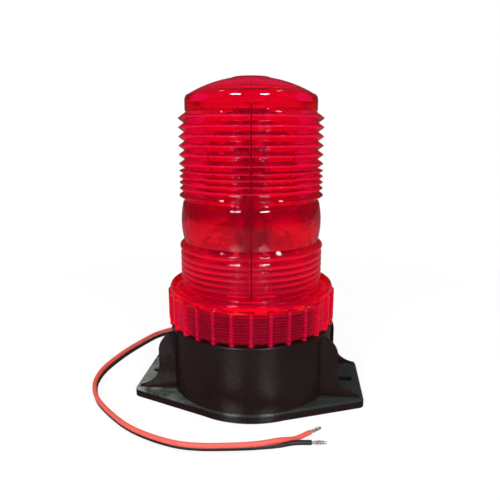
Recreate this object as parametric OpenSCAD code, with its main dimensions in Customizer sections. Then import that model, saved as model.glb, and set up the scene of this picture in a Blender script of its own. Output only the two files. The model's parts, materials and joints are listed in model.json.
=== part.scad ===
// Red strobe warning light: ribbed lens, threaded collar and slotted foot, with its lamp tower and lead.
// The lens axis is the z axis and the foot stands on z = 0. Its slots lie along x, and the lead leaves at +y.

/* [Lens] */
// Diameter of the smooth band at the lens's foot, from which the collar, neck, drum and foot follow
lens_diameter = 79.8; // [76:0.2:84]
// Overall height of the light
total_height = 175.8; // [168:0.1:184]
// How far the lens's flange reaches past the smooth band
flange_width = 3.2; // [2.8:0.1:3.6]
// Thickness of the lens's flange
flange_thickness = 2; // [1.6:0.1:2.6]
// Wall of the lens behind its grooves
lens_wall = 2.4; // [2:0.1:3]
// Height of the smooth band from the flange to the low ribs
band_height = 4.4; // [4:0.1:6]
// Number of low ribs under the bead
low_ribs = 6; // [4:1:7]
// Pitch of the low ribs under the bead
low_pitch = 3.25; // [2.8:0.05:3.6]
// Depth of the low ribs
low_rib_depth = 0.5; // [0.3:0.05:0.7]
// How far the tips of the upper ribs lie inside the smooth band
tip_inset = 0.4; // [0.2:0.05:0.8]
// Depth of the upper coarse grooves
groove_depth = 3.2; // [2.4:0.1:3.6]
// Number of coarse upper ribs
coarse_ribs = 6; // [4:1:7]
// Pitch of the coarse upper ribs
coarse_pitch = 4.75; // [4.2:0.05:5.2]
// Number of fine upper ribs
fine_ribs = 4; // [2:1:5]
// Pitch of the fine upper ribs
fine_pitch = 3.15; // [2.8:0.05:3.5]
// How far the dome's upright rim lies inside the grooves
cap_inset = 0.7; // [0.3:0.1:1.2]
// Radius of the dome's crown
crown_radius = 66; // [58:1:80]
// Diameter of the raised disc on the crown
disc_diameter = 20.6; // [16:0.2:24]
// Height of the raised disc over the crown
disc_rise = 0.4; // [0.3:0.1:0.8]
// Number of snap lugs that keep the collar on the lens
snap_lugs = 4; // [3:1:6]
// Angle of the lens and the collar about the axis
lens_turn = 5.8; // [0:0.1:11.9]

/* [Collar] */
// Radial gap between the neck and the collar on each side of the mean thread
thread_clearance = 0.2; // [0.15:0.05:0.3]
// Wall of the collar over the thread
collar_wall = 3; // [2.6:0.1:3.6]
// Gap between the drum's shoulder and the collar's skirt
skirt_gap = 1.8; // [1.4:0.1:2.4]
// Thickness of the collar's inward lip
lip_thickness = 2.2; // [1.8:0.1:2.6]
// Depth of the recess above the lip
rim_depth = 2.55; // [2.3:0.05:4]
// Number of grip ribs
grip_ribs = 30; // [24:1:36]
// Radius of one grip rib's round face
grip_rib_radius = 1.65; // [1.3:0.05:1.9]
// How far the grip ribs stand proud of the collar's wall
rib_proud = 1.1; // [0.8:0.05:1.3]
// How far the grip ribs hang below the skirt
rib_hang = 1.2; // [0.6:0.1:1.3]

/* [Housing] */
// How far the drum's wall lies inside the collar's
drum_inset = 0.2; // [0:0.1:0.8]
// Height of the drum's shoulder over the floor
drum_height = 42.1; // [38:0.1:46]
// Wall of the drum
drum_wall = 3.2; // [2.6:0.1:3.6]
// Rounding of the drum's shoulder
shoulder_radius = 1.2; // [0.6:0.1:1.8]
// Thickness of the deck that closes the drum
deck_thickness = 3; // [2.4:0.1:4]
// Hole in the deck for the tower's wires
deck_hole = 14; // [10:0.5:16]
// Height of the threaded neck over the shoulder
neck_height = 14.1; // [12:0.1:18]
// Wall of the neck
neck_wall = 3.8; // [3:0.1:4.4]

/* [Foot] */
// How far the foot plate reaches past the drum at each end
foot_reach = 18.3; // [16:0.1:22]
// Width of the foot plate's ends, corner to corner
foot_end_width = 50; // [46:0.5:56]
// Thickness of the foot plate
foot_thickness = 4.9; // [4:0.1:7]
// Plan radius of the foot plate's corners
foot_corner_radius = 4; // [3:0.25:6]
// Rounding of the foot plate's upper edge
foot_edge_radius = 1.6; // [0.8:0.1:2.2]
// Distance of a mounting slot's centre from the foot plate's end
slot_inset = 9.2; // [7:0.1:10]
// End-to-end length of a mounting slot
slot_length = 10; // [8:0.25:10.5]
// Width of a mounting slot
slot_width = 5.5; // [4.5:0.1:6.5]
// How far a corner web's outer face stands inside the foot plate's side
web_inset = 2.2; // [1.6:0.1:3]
// Thickness of a corner web
web_thickness = 3.4; // [2.6:0.1:4.5]
// How far a corner web's upright end stands out from the drum
web_reach = 3.6; // [3:0.1:5]
// How far the corner webs' top lies below the drum's shoulder
web_drop = 2.8; // [2:0.1:5]
// Rounding at the top of a corner web
web_round = 11.3; // [8:0.1:12]
// Radius of the hollow sweep at the foot of a corner web
web_sweep = 15.2; // [12:0.1:16]

/* [Seal, cover and board] */
// Thickness of the seal ring under the lens
gasket_thickness = 1.5; // [1:0.1:2]
// Thickness of the bottom cover
cover_thickness = 2.4; // [2:0.1:3]
// How far the bottom cover sits above the floor
cover_recess = 0.8; // [0.5:0.1:1.2]
// Ledge on which the bottom cover seats
cover_ledge = 1.2; // [1:0.1:1.4]
// How far the cover's posts stand inside the cavity's wall
post_inset = 3.4; // [3:0.1:3.7]
// Diameter of the cover's posts
post_diameter = 8; // [7:0.25:9]
// Gap between the main board and the cover's posts
board_gap = 2.3; // [1:0.1:4]
// Thickness of the main board
board_thickness = 1.6; // [1.2:0.1:2]
// Height of the main board's lower face over the floor
board_height = 23; // [21:0.5:26]
// Diameter of the board's and tower's bosses
boss_diameter = 7; // [6.5:0.25:8]
// Diameter of the shanks of all small screws
screw_diameter = 2.9; // [2.5:0.1:3]
// Clearance round screws, bushes and covers
fit_clearance = 0.1; // [0.05:0.05:0.15]

/* [Lamp tower] */
// Width of the tower's six-sided core across its flats
core_width = 16; // [14:0.5:18]
// Room between the tower's core and the top of the light
tower_headroom = 17.5; // [15:0.5:30]
// Bore of the tower's core
core_bore = 10; // [8:0.5:10.5]
// Thickness of the lamp strips
strip_thickness = 1.2; // [1:0.1:1.6]
// Side of one square lamp
lamp_side = 5; // [4:0.1:5.6]
// Height of one lamp over its strip
lamp_rise = 1.6; // [1.2:0.1:2]
// Number of lamps on one strip
lamps_per_strip = 8; // [5:1:9]
// How far the tower's foot reaches past its screws' axes
tower_foot_margin = 4; // [3.2:0.1:6]
// Thickness of the tower's foot
tower_foot_thickness = 2.6; // [2:0.1:3.5]

/* [Lead] */
// Diameter of one insulated lead
lead_diameter = 2.4; // [2:0.05:2.6]
// Diameter of one bare stranded end
strand_diameter = 1.3; // [1:0.05:1.5]
// Height of the lead's bush over the floor
bush_height = 18.5; // [17:0.1:19]
// Diameter of the bush where it passes the wall
bush_diameter = 9; // [8:0.25:10]

/* [Hidden] */
$fn = 96;
medium_fn = 48;
small_fn = 32;
nudge = 0.01;

// Radii of the lens's foot, the neck, the collar and the drum, each from the one inside it
running_gap = 0.3;
gasket_inset = 0.2;
seal_gap = 0.05;
flange_inset = 0.1;
lens_r = lens_diameter / 2;
flange_r = lens_r + flange_width;
neck_r = flange_r + flange_inset;
neck_bore_r = neck_r - neck_wall;
spigot_r = neck_bore_r - running_gap;
bore_r = neck_r + 2 * thread_clearance;
collar_r = bore_r + collar_wall;
rib_circle = collar_r + rib_proud - grip_rib_radius;
drum_r = collar_r - drum_inset;
cavity_r = drum_r - drum_wall;
rebate_r = cavity_r + cover_ledge;
cover_r = rebate_r - 2 * fit_clearance;

// Heights from the bottom cover up to the neck
seat_z = cover_recess + cover_thickness;
deck_z = drum_height - deck_thickness;
neck_top = drum_height + neck_height;

// Foot plate and its corner webs
foot_length = 2 * (drum_r + foot_reach);
corner_r = foot_corner_radius;
corner_x = foot_length / 2 - corner_r;
corner_y = foot_end_width / 2 - corner_r;
edge_r = min(foot_edge_radius, foot_thickness / 2, foot_corner_radius / 2);
slot_x = foot_length / 2 - slot_inset;
side_bite = 0.15;
web_y = foot_end_width / 2 - web_inset;
web_top = drum_height - web_drop;
web_end = drum_r + web_reach;
web_sink = 0.3;
web_toe_gap = 1;
web_root_r = cavity_r - 6;

// Bush of the lead and the flat pad and seat that it clamps
bush_r = bush_diameter / 2;
pad_r = bush_r + 3.5;
pad_y = drum_r + 0.9;
seat_y = cavity_r - 1.4;
bush_inner_lip = 1.6;
bush_outer_lip = 2;
lip_depth = 1.6;
sleeve_length = 3.7;
sleeve_taper = 1;
lead_start_y = drum_r + 0.6;

// Seal, flange, lip and rim, from the neck upward
flange_z = neck_top + gasket_thickness;
flange_top = flange_z + flange_thickness;
lip_z = flange_top + running_gap / 2;
lip_top = lip_z + lip_thickness;
lip_r = lens_r + 2 * running_gap;
skirt_z = drum_height + skirt_gap;
rim_z = lip_top + rim_depth;
rim_r = collar_r - 1.6;
rim_bore_r = rim_r - 0.8;
rim_chamfer = 0.3;
grip_top = rim_z - 4.6;
shoulder_z = grip_top + 0.8;
spigot_z = flange_z - 3;
lens_bore_r = spigot_r - lens_wall;
lug_z = lip_top + running_gap / 2;
lug_width = 6;
lug_height = 1.2;
lug_edge = 0.4;
lug_reach = lip_r + 0.5;
lug_root = lens_r - 0.5;

// Low ribs and bead of the lens, from the flange up
low_tip_r = lens_r - 0.1;
low_groove_r = lens_r - low_rib_depth;
low_foot_z = flange_top + band_height;
low_top_z = low_foot_z + low_ribs * low_pitch;
bead_r = lens_r + 0.2;
bead_half = 1.9;
bead_neck = 0.6;
bead_z = low_top_z + bead_half + 0.8;
barrel_foot_z = bead_z + bead_half + 1.1;

// Dome and upper ribs of the lens, from the top down
tip_r = lens_r - tip_inset;
groove_r = tip_r - groove_depth;
cap_r = groove_r - cap_inset;
cap_edge = 1.5;
cap_edge_drop = 3;
cap_skirt = 8.6;
cap_chamfer = 0.6;
crown_bore_drop = 3;
disc_r = disc_diameter / 2;
disc_chamfer = 0.3;
crown_z = total_height - disc_rise + crown_radius - sqrt(pow(crown_radius, 2) - pow(disc_r, 2));
crown_centre_z = crown_z - crown_radius;
dome_rim_z = crown_centre_z + sqrt(pow(crown_radius, 2) - pow(cap_r - cap_edge, 2));
cap_foot_z = dome_rim_z - cap_skirt;
first_tip_z = cap_foot_z - 3.3;
coarse_foot_z = first_tip_z - (coarse_ribs - 0.5) * coarse_pitch;
fine_top_z = coarse_foot_z - 0.4 * fine_pitch;
fine_groove_r = groove_r + 0.9;
fine_foot_z = coarse_foot_z - fine_ribs * fine_pitch;
big_rib_r = tip_r + 0.4;
big_rib_z = fine_foot_z - 1.9;
barrel_top_z = big_rib_z - 2.5;
barrel_r = tip_r - 0.6;
barrel_end_r = groove_r + 0.6;
barrel_inset = 1.2;

// Lamp tower
core_half = core_width / 2;
hex_corner = 1 / cos(30);
core_z = drum_height + tower_foot_thickness;
core_top = total_height - tower_headroom;
core_crown = 8;
tower_socket = 5;
socket_wall = 2;
strip_width = core_width * tan(30) - 0.3;
strip_gap = 1.5;
strip_z = core_z + tower_socket + strip_gap;
strip_length = core_top - strip_gap - strip_z;
lamp_pitch = strip_length / lamps_per_strip;
lamp_face = core_half + strip_thickness;
crown_board_half = lamp_face + lamp_rise;
crown_lamp_reach = 4;

// Small screws: shank, hole, head and how deep each kind reaches
screw_r = screw_diameter / 2;
screw_hole_r = screw_r + fit_clearance;
head_r = screw_diameter;
small_head_r = head_r - 0.4;
tower_screw_circle = core_half + socket_wall + small_head_r + 0.5;
head_height = 0.75 * screw_diameter;
sunk_head = cover_thickness - 0.8;
hole_spare = 1;
cover_screw_depth = 9;
board_screw_depth = 7;
tower_screw_depth = 5;
crown_screw_depth = 7;
tower_boss_drop = 4;
post_circle = cavity_r - post_inset;
post_angles = [45, 135, 225, 315];
tower_angles = [0, 180];

// Main board and what hangs under it: places and sizes as [x, y, radius, height] or [x, y, length, width]
board_angles = [30, 150, 270];
board_r = post_circle - post_diameter / 2 - board_gap;
board_boss_circle = board_r - 4.5;
board_top = board_height + board_thickness;
block_size = [10.4, 9, 10];
block_y = 24;
block_back_y = block_y + block_size[1] / 2;
clamp_r = 1.9;
clamp_well = 3;
clamp_sink = 1;
cans = [[-14, 3, 6.25, 16], [-14, -11, 5, 12.5], [13, -12, 4, 11]];
choke_place = [13, 3, 0];
choke_r = 6;
choke_flange = 1.2;
choke_height = 10;
choke_core_r = 3;
winding_gap = 0.1;
chips = [[-6, -6, 5, 4], [1, -6, 5, 4]];
chip_height = 1.6;
transistors = [[-8, -19, 6.5, 6.1], [0.5, -19, 6.5, 6.1]];
transistor_height = 2.3;
socket_size = [12, 5, 6];
plug_wall = 1;
plug_floor = 3;
wire_r = 0.6;
wire_pitch = 2.55;
wire_colours = ["firebrick", "black", "gold", "white"];
wire_rise = 6;
lead_r = lead_diameter / 2;
lead_pitch = lead_diameter + 0.06;
lead_sides = [-1, 1];

// The lead's route on the floor, by hand: x, y, lift of the pair's middle, and the roll of the black lead
// about the red one, from beside it on the left (0) through under it (90) to beside it on the right (180)
route = [
    [0, lead_start_y, bush_height - lead_r, 0], [0, 53, bush_height - lead_r, 0], [0, 60.5, 15.5, 0],
    [-0.5, 66, 11.5, 5], [-1.5, 71, 7, 12], [-3, 76.5, 4.2, 20], [-6, 84, 1, 32], [-11, 89.5, 0, 44],
    [-19, 93, 0, 54], [-29.5, 93.5, 0, 60], [-39.5, 90, 0, 64], [-49.5, 83, 0, 67], [-58.5, 75.5, 0, 67],
    [-66.5, 69.5, 0, 67], [-72, 64, 0, 67], [-77, 57.5, 0, 67], [-82.5, 44.5, 0, 67], [-87.5, 30, 0, 68],
    [-91, 15.5, 0, 70], [-93, 1.5, 0, 74], [-92.5, -10, 0, 78], [-90.5, -19, 0, 80],
    [-86.5, -28, 0, 78], [-81, -36.5, 0, 75], [-74.5, -43.5, 0, 72], [-67, -50.5, 0, 70],
    [-59, -57, 0, 67], [-50, -62.5, 0, 66], [-38.5, -67.5, 0, 66], [-27.5, -70.5, 0, 66],
    [-17, -71, 0, 66], [-7, -70, 0, 67], [3.5, -68.5, 0, 70], [12.5, -66.5, 0, 80], [20, -64, 0, 105]];
tail_red = [[28, -58], [35, -52]];
tail_black = [[27.5, -61.5], [35.5, -60.5]];
strand_length = 7;

function unit(v) = v / norm(v);
function heading(i, pts) = unit(pts[min(i + 1, len(pts) - 1)] - pts[max(i - 1, 0)]);
function plan(p) = [p[0], p[1]];
function left_of(i) = let(h = heading(i, [for (p = route) plan(p)])) [-h[1], h[0], 0];
function pair_middle(p) = [p[0], p[1], p[2] + lead_r + lead_pitch / 2 * abs(sin(p[3]))];
function lead_point(i, side) = pair_middle(route[i])
    + side * lead_pitch / 2 * (cos(route[i][3]) * left_of(i) - [0, 0, sin(route[i][3])]);
function lead_path(side, tail) = concat([for (i = [0:len(route) - 1]) lead_point(i, side)],
    [for (p = tail) [p[0], p[1], lead_r]]);
function ring(pts, i, r, sides) = let(h = heading(i, pts), s = unit(cross([0, 0, 1], h)), u = cross(h, s))
    [for (k = [0:sides - 1]) let(a = 360 * (k + 0.5) / sides) pts[i] + r * (cos(a) * s + sin(a) * u)];

// Solid tube along pts, with one ring of the given sides at each point
module tube(pts, r, sides = 8) {
    rings = [for (i = [0:len(pts) - 1]) each ring(pts, i, r, sides)];
    last = (len(pts) - 1) * sides;
    walls = [for (i = [0:len(pts) - 2], k = [0:sides - 1])
        let(a = i * sides + k, b = i * sides + (k + 1) % sides)
        each [[a, a + sides, b], [b, a + sides, b + sides]]];
    start = [for (k = [1:sides - 2]) [0, k, k + 1]];
    end = [for (k = [1:sides - 2]) [last, last + k + 1, last + k]];
    polyhedron(rings, concat(start, walls, end), convexity = 10);
}

module at_ends() {
    for (sx = [-1, 1]) mirror([sx < 0 ? 1 : 0, 0, 0]) children();
}

module at_corners() {
    at_ends() for (sy = [-1, 1]) mirror([0, sy < 0 ? 1 : 0, 0]) children();
}

module on_circle(r, angles) {
    for (a = angles) rotate([0, 0, a]) translate([r, 0, 0]) children();
}

module column(r, z0, z1) {
    translate([0, 0, z0]) cylinder(r = r, h = z1 - z0);
}

// Round slab as thick as the foot plate, with its upper edge rounded
module slab(r) {
    rotate_extrude($fn = 32) {
        square([r - edge_r, foot_thickness]);
        square([r, foot_thickness - edge_r]);
        translate([r - edge_r, foot_thickness - edge_r]) circle(r = edge_r, $fn = 24);
    }
}

// Foot plate: round corners joined by straight ends, and by sides that run almost tangent into the drum
module foot_plate() {
    hull() {
        at_corners() translate([corner_x, corner_y, 0]) slab(corner_r);
        slab(drum_r - side_bite);
    }
}

// Side view of a corner web: round top, upright end and a hollow sweep down to the plate's corner
module web_profile() {
    foot_z = foot_thickness - web_sink;
    reach = web_end - web_root_r;
    toe = foot_length / 2 - web_toe_gap - web_root_r;
    difference() {
        union() {
            translate([web_end - web_round, web_top - web_round]) circle(r = web_round);
            translate([web_root_r, foot_z]) square([reach, web_top - web_round - foot_z]);
            translate([web_root_r, foot_z]) square([toe, web_sweep + web_sink]);
        }
        translate([web_end + web_sweep, foot_thickness + web_sweep]) circle(r = web_sweep);
        translate([web_root_r - 2 * web_round, 0]) square([2 * web_round, web_top + 1]);
    }
}

module corner_webs() {
    at_corners() translate([0, web_y, 0]) rotate([90, 0, 0])
        linear_extrude(web_thickness) web_profile();
}

module drum_shell() {
    rotate_extrude() {
        square([drum_r - shoulder_radius, drum_height]);
        square([drum_r, drum_height - shoulder_radius]);
        translate([drum_r - shoulder_radius, drum_height - shoulder_radius])
            circle(r = shoulder_radius, $fn = small_fn);
    }
}

// Round bar along y through the wall at the bush's height
module bush_bar(r, y0, y1) {
    translate([0, y0, bush_height]) rotate([-90, 0, 0]) cylinder(r = r, h = y1 - y0, $fn = medium_fn);
}

// Drum, neck, foot, webs and the lead's pad, hollowed from below and with the neck open above
module housing_shell() {
    difference() {
        union() {
            foot_plate();
            drum_shell();
            corner_webs();
            column(neck_r, drum_height - nudge, neck_top);
            bush_bar(pad_r, 0, pad_y);
        }
        column(cavity_r, -nudge, deck_z);
        column(rebate_r, -nudge, seat_z);
        column(neck_bore_r, drum_height, neck_top + nudge);
    }
}

// Inside the cavity: posts of the cover, bosses of the board and the tower, and the bush's flat seat
module housing_bosses() {
    intersection() {
        union() {
            on_circle(post_circle, post_angles) boss(post_diameter, seat_z);
            bush_bar(pad_r, seat_y, drum_r - nudge);
        }
        column(cavity_r + nudge, 0, drum_height);
    }
    on_circle(board_boss_circle, board_angles) boss(boss_diameter, board_top);
    on_circle(tower_screw_circle, tower_angles) boss(boss_diameter, deck_z - tower_boss_drop);
}

// Boss of a screw, from its free end up into the deck
module boss(diameter, z0) {
    column(diameter / 2, z0, deck_z + nudge, $fn = medium_fn);
}

module screw_hole(z0, z1) {
    column(screw_hole_r, z0 - nudge, z1 + nudge, $fn = small_fn);
}

module base_housing() {
    color([0.12, 0.12, 0.13]) difference() {
        union() {
            housing_shell();
            housing_bosses();
        }
        column(deck_hole / 2, deck_z - nudge, drum_height + nudge);
        on_circle(post_circle, post_angles) screw_hole(seat_z, seat_z + cover_screw_depth + hole_spare);
        on_circle(board_boss_circle, board_angles)
            screw_hole(board_top, board_top + board_screw_depth + hole_spare);
        on_circle(tower_screw_circle, tower_angles)
            screw_hole(drum_height - tower_screw_depth - hole_spare, drum_height);
        bush_bar(bush_r + fit_clearance, 0, pad_y + nudge);
        at_ends() mounting_slot();
    }
}

module mounting_slot() {
    half = (slot_length - slot_width) / 2;
    for (x = [-half, half]) translate([slot_x + x, 0, 0])
        column(slot_width / 2, -nudge, foot_thickness + nudge, $fn = medium_fn);
    translate([slot_x - half, -slot_width / 2, -nudge])
        cube([2 * half, slot_width, foot_thickness + 2 * nudge]);
}

// Countersunk screw from the cover's lower face up, or with a gap the hole for it
module sunk_screw(gap, length) {
    cylinder(r1 = head_r + gap, r2 = screw_r + gap, h = sunk_head, $fn = small_fn);
    cylinder(r = screw_r + gap, h = length, $fn = small_fn);
}

module bottom_cover() {
    color([0.16, 0.16, 0.17]) difference() {
        column(cover_r, cover_recess, seat_z);
        on_circle(post_circle, post_angles) translate([0, 0, cover_recess - nudge])
            sunk_screw(fit_clearance, cover_thickness + 1);
    }
}

module cover_screws() {
    color("silver") on_circle(post_circle, post_angles) translate([0, 0, cover_recess])
        sunk_screw(0, cover_thickness + cover_screw_depth);
}

// Rubber bush: body through the wall, a lip on each side of it, and a short sleeve for the leads
module cable_grommet() {
    color([0.1, 0.1, 0.1]) difference() {
        union() {
            bush_bar(bush_r, seat_y - nudge, pad_y + nudge);
            bush_bar(bush_r + bush_outer_lip, pad_y, pad_y + lip_depth);
            bush_bar(bush_r + bush_inner_lip, seat_y - lip_depth, seat_y);
            translate([0, pad_y, bush_height]) rotate([-90, 0, 0])
                cylinder(r1 = bush_r, r2 = bush_r - sleeve_taper, h = sleeve_length, $fn = medium_fn);
        }
        for (side = lead_sides) translate([side * lead_pitch / 2, 0, 0])
            bush_bar(lead_r + nudge, 0, pad_y + sleeve_length + 1);
    }
}

module inner_leads() {
    for (side = lead_sides) color(side > 0 ? "firebrick" : "black") translate([side * lead_pitch / 2, 0, 0])
        bush_bar(lead_r, block_back_y, lead_start_y);
}

module terminal_block() {
    corner_z = board_height - block_size[2];
    color([0.1, 0.35, 0.15]) difference() {
        translate([-block_size[0] / 2, block_y - block_size[1] / 2, corner_z]) cube(block_size);
        at_clamps()
            column(clamp_r + 2 * fit_clearance, corner_z - nudge, corner_z + clamp_well, $fn = small_fn);
    }
}

module terminal_screws() {
    well_z = board_height - block_size[2] + clamp_well;
    color("silver") at_clamps() column(clamp_r, well_z - clamp_well + clamp_sink, well_z, $fn = small_fn);
}

module at_clamps() {
    for (side = lead_sides) translate([side * block_size[0] / 4, block_y, 0]) children();
}

module main_board() {
    color([0.05, 0.3, 0.15]) difference() {
        column(board_r, board_height, board_top);
        on_circle(board_boss_circle, board_angles)
            column(screw_hole_r, board_height - nudge, board_top + nudge, $fn = 32);
    }
}

module pan_screw(r, z, depth) {
    column(r, z, z + head_height, $fn = small_fn);
    column(screw_r, z - depth, z + nudge, $fn = small_fn);
}

module board_screws() {
    color("silver") on_circle(board_boss_circle, board_angles)
        translate([0, 0, board_height]) mirror([0, 0, 1])
        pan_screw(head_r, 0, board_thickness + board_screw_depth);
}

module capacitors() {
    color([0.15, 0.18, 0.3]) for (can = cans)
        translate([can[0], can[1], 0]) column(can[2], board_height - can[3], board_height, $fn = medium_fn);
}

module choke_core() {
    foot_z = board_height - choke_height;
    color([0.25, 0.25, 0.27]) translate(choke_place) {
        column(choke_r, board_height - choke_flange, board_height, $fn = medium_fn);
        column(choke_core_r, foot_z, board_height, $fn = medium_fn);
        column(choke_r, foot_z, foot_z + choke_flange, $fn = medium_fn);
    }
}

module choke_winding() {
    low = board_height - choke_height + choke_flange + winding_gap;
    high = board_height - choke_flange - winding_gap;
    color([0.7, 0.35, 0.15]) translate(choke_place) difference() {
        column(choke_r - 5 * winding_gap, low, high, $fn = medium_fn);
        column(choke_core_r + winding_gap, low - nudge, high + nudge, $fn = medium_fn);
    }
}

module driver_chips() {
    color([0.1, 0.1, 0.11]) {
        for (c = chips) translate([c[0], c[1], board_height - chip_height]) cube([c[2], c[3], chip_height]);
        for (t = transistors) translate([t[0], t[1], board_height - transistor_height])
            cube([t[2], t[3], transistor_height]);
    }
}

module harness_socket() {
    walls = [plug_wall, plug_wall, 0];
    color([0.92, 0.9, 0.84]) translate([-socket_size[0] / 2, -socket_size[1] / 2, board_top]) difference() {
        cube(socket_size);
        translate(walls + [0, 0, plug_floor]) cube(socket_size - 2 * walls);
    }
}

module tower_wires() {
    last = len(wire_colours) - 1;
    for (i = [0:last]) color(wire_colours[i]) translate([(i - last / 2) * wire_pitch, 0, 0])
        column(wire_r, board_top + plug_floor, core_z + wire_rise, $fn = small_fn);
}

module tower_foot() {
    color([0.92, 0.92, 0.9]) difference() {
        union() {
            column(tower_screw_circle + tower_foot_margin, drum_height, core_z);
            hex_column(core_half + socket_wall, drum_height, core_z + tower_socket);
        }
        hex_column(core_half + fit_clearance, core_z, core_z + tower_socket + nudge);
        column(core_bore / 2, drum_height - nudge, core_z + nudge);
        on_circle(tower_screw_circle, tower_angles) screw_hole(drum_height, core_z);
    }
}

module hex_column(half, z0, z1) {
    translate([0, 0, z0]) rotate([0, 0, 30]) cylinder(r = half * hex_corner, h = z1 - z0, $fn = 6);
}

module tower_screws() {
    color("silver") on_circle(tower_screw_circle, tower_angles)
        pan_screw(small_head_r, core_z, tower_foot_thickness + tower_screw_depth);
}

module tower_core() {
    color([0.75, 0.76, 0.78]) difference() {
        hex_column(core_half, core_z, core_top);
        column(core_bore / 2, core_z - nudge, core_top - core_crown);
        screw_hole(core_top - core_crown, core_top);
    }
}

module on_faces() {
    for (a = [0:60:300]) rotate([0, 0, a]) children();
}

module led_boards() {
    color([0.3, 0.31, 0.3]) on_faces() translate([core_half, -strip_width / 2, strip_z])
        cube([strip_thickness, strip_width, strip_length]);
}

module lamp() {
    cube([lamp_rise, lamp_side, lamp_side]);
}

module leds() {
    color([0.95, 0.9, 0.6]) on_faces() for (i = [0:lamps_per_strip - 1])
        translate([lamp_face, -lamp_side / 2, strip_z + (i + 0.5) * lamp_pitch - lamp_side / 2]) lamp();
}

module crown_board() {
    color([0.3, 0.31, 0.3]) difference() {
        hex_column(crown_board_half, core_top, core_top + strip_thickness);
        screw_hole(core_top, core_top + strip_thickness);
    }
}

module crown_leds() {
    color([0.95, 0.9, 0.6]) for (a = [30:120:270]) rotate([0, 0, a])
        translate([crown_lamp_reach, -lamp_side / 2, core_top + strip_thickness])
        cube([lamp_side, lamp_side, lamp_rise]);
}

module crown_screw() {
    color("silver")
        pan_screw(small_head_r, core_top + strip_thickness, strip_thickness + crown_screw_depth);
}

module lens_gasket() {
    color([0.08, 0.08, 0.08]) difference() {
        column(neck_r - gasket_inset, neck_top, flange_z - seal_gap);
        column(neck_bore_r, neck_top - nudge, flange_z + nudge);
    }
}

// Pointed ribs from z_top down: tip and groove alternate by half a pitch
function pointed_ribs(z_top, count, pitch, tip, groove) = [for (i = [0:count - 1]) each
    [[tip, z_top - i * pitch], [groove, z_top - (i + 0.5) * pitch]]];
function arc(cx, cz, r, a0, a1, steps) = [for (i = [0:steps])
    let(a = a0 + (a1 - a0) * i / steps) [cx + r * cos(a), cz + r * sin(a)]];

// Crown of the dome out to its edge, and the rounded edge and upright rim under it
function dome_profile() = concat(
    [[0, total_height], [disc_r, total_height], [disc_r + disc_chamfer, total_height - disc_rise]],
    arc(0, crown_centre_z, crown_radius, acos((disc_r + 2 * disc_chamfer) / crown_radius),
        acos((cap_r - cap_edge) / crown_radius), 10),
    [for (t = [15:25:90]) [cap_r - cap_edge * (1 - sin(t)), dome_rim_z - cap_edge_drop * (1 - cos(t))]],
    [[cap_r, cap_foot_z + cap_chamfer], [cap_r - cap_chamfer, cap_foot_z]]);

// Bulged wall between the big rib and the bead
function barrel_profile() = [for (t = [0:0.1:1.001])
    [barrel_end_r + (barrel_r - barrel_end_r) * sin(180 * (0.12 + 0.76 * t)),
        barrel_top_z - barrel_inset - t * (barrel_top_z - barrel_inset - barrel_foot_z)]];

// Flat-topped ribs under the bead
function low_rib_profile() = [for (i = [0:low_ribs - 1])
    for (step = [[0, low_groove_r], [0.35, low_tip_r], [0.65, low_tip_r]])
    [step[1], low_top_z - (i + step[0]) * low_pitch]];

// Outer face of the lens from the crown down to the spigot
function lens_outside() = concat(
    dome_profile(),
    pointed_ribs(first_tip_z, coarse_ribs, coarse_pitch, tip_r, groove_r),
    pointed_ribs(fine_top_z, fine_ribs, fine_pitch, tip_r, fine_groove_r),
    [[big_rib_r, big_rib_z], [groove_r, barrel_top_z]],
    barrel_profile(),
    [[bead_r - bead_half, bead_z + bead_half + bead_neck]],
    arc(bead_r - bead_half, bead_z, bead_half, 60, -60, 6),
    low_rib_profile(),
    [[low_groove_r, low_foot_z], [lens_r, low_foot_z - bead_neck], [lens_r, flange_top],
        [flange_r, flange_top], [flange_r, flange_z], [spigot_r, flange_z], [spigot_r, spigot_z]]);

// Inner face of the lens from the spigot up to the crown
function lens_inside() = concat(
    [[lens_bore_r, spigot_z], [lens_bore_r, low_foot_z], [groove_r - lens_wall, coarse_foot_z],
        [groove_r - lens_wall, cap_foot_z], [cap_r - lens_wall - cap_edge, dome_rim_z - crown_bore_drop]],
    arc(0, crown_centre_z - lens_wall, crown_radius,
        acos((cap_r - lens_wall - 2 * cap_edge) / crown_radius), 90, 8));

module lens() {
    color([0.85, 0.05, 0.1, 0.6]) rotate([0, 0, lens_turn]) {
        rotate_extrude() polygon(concat(lens_outside(), lens_inside()));
        snap_lug_ring();
    }
}

// Short wedges above the collar's lip, which spring past it once and then keep the collar on the lens
module snap_lug_ring() {
    angles = [for (i = [0:snap_lugs - 1]) 360 * (i + 0.5) / snap_lugs];
    on_circle(0, angles) intersection() {
        rotate_extrude() polygon([[lug_root, lug_z], [lug_reach, lug_z], [lug_reach, lug_z + lug_edge],
            [lug_root, lug_z + lug_height]]);
        translate([0, -lug_width / 2, lug_z - 1]) cube([lug_reach + 1, lug_width, lug_height + 2]);
    }
}

// Section of the collar: skirt, smooth round shoulder, rim, recess and inward lip
module collar_section() {
    polygon(concat(
        [[bore_r, skirt_z], [collar_r, skirt_z], [collar_r, shoulder_z]],
        [for (a = [10:10:80])
            [rim_r + (collar_r - rim_r) * cos(a), shoulder_z + (rim_z - shoulder_z) * sin(a)]],
        [[rim_r, rim_z], [rim_bore_r + rim_chamfer, rim_z], [rim_bore_r, rim_z - rim_chamfer],
            [rim_bore_r - rim_chamfer, lip_top], [lip_r, lip_top], [lip_r, lip_z], [bore_r, lip_z]]));
}

// Half-round grip rib with a ball end at the shoulder
module grip_rib() {
    column(grip_rib_radius, skirt_z - rib_hang, grip_top, $fn = small_fn);
    translate([0, 0, grip_top]) sphere(r = grip_rib_radius, $fn = small_fn);
}

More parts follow.
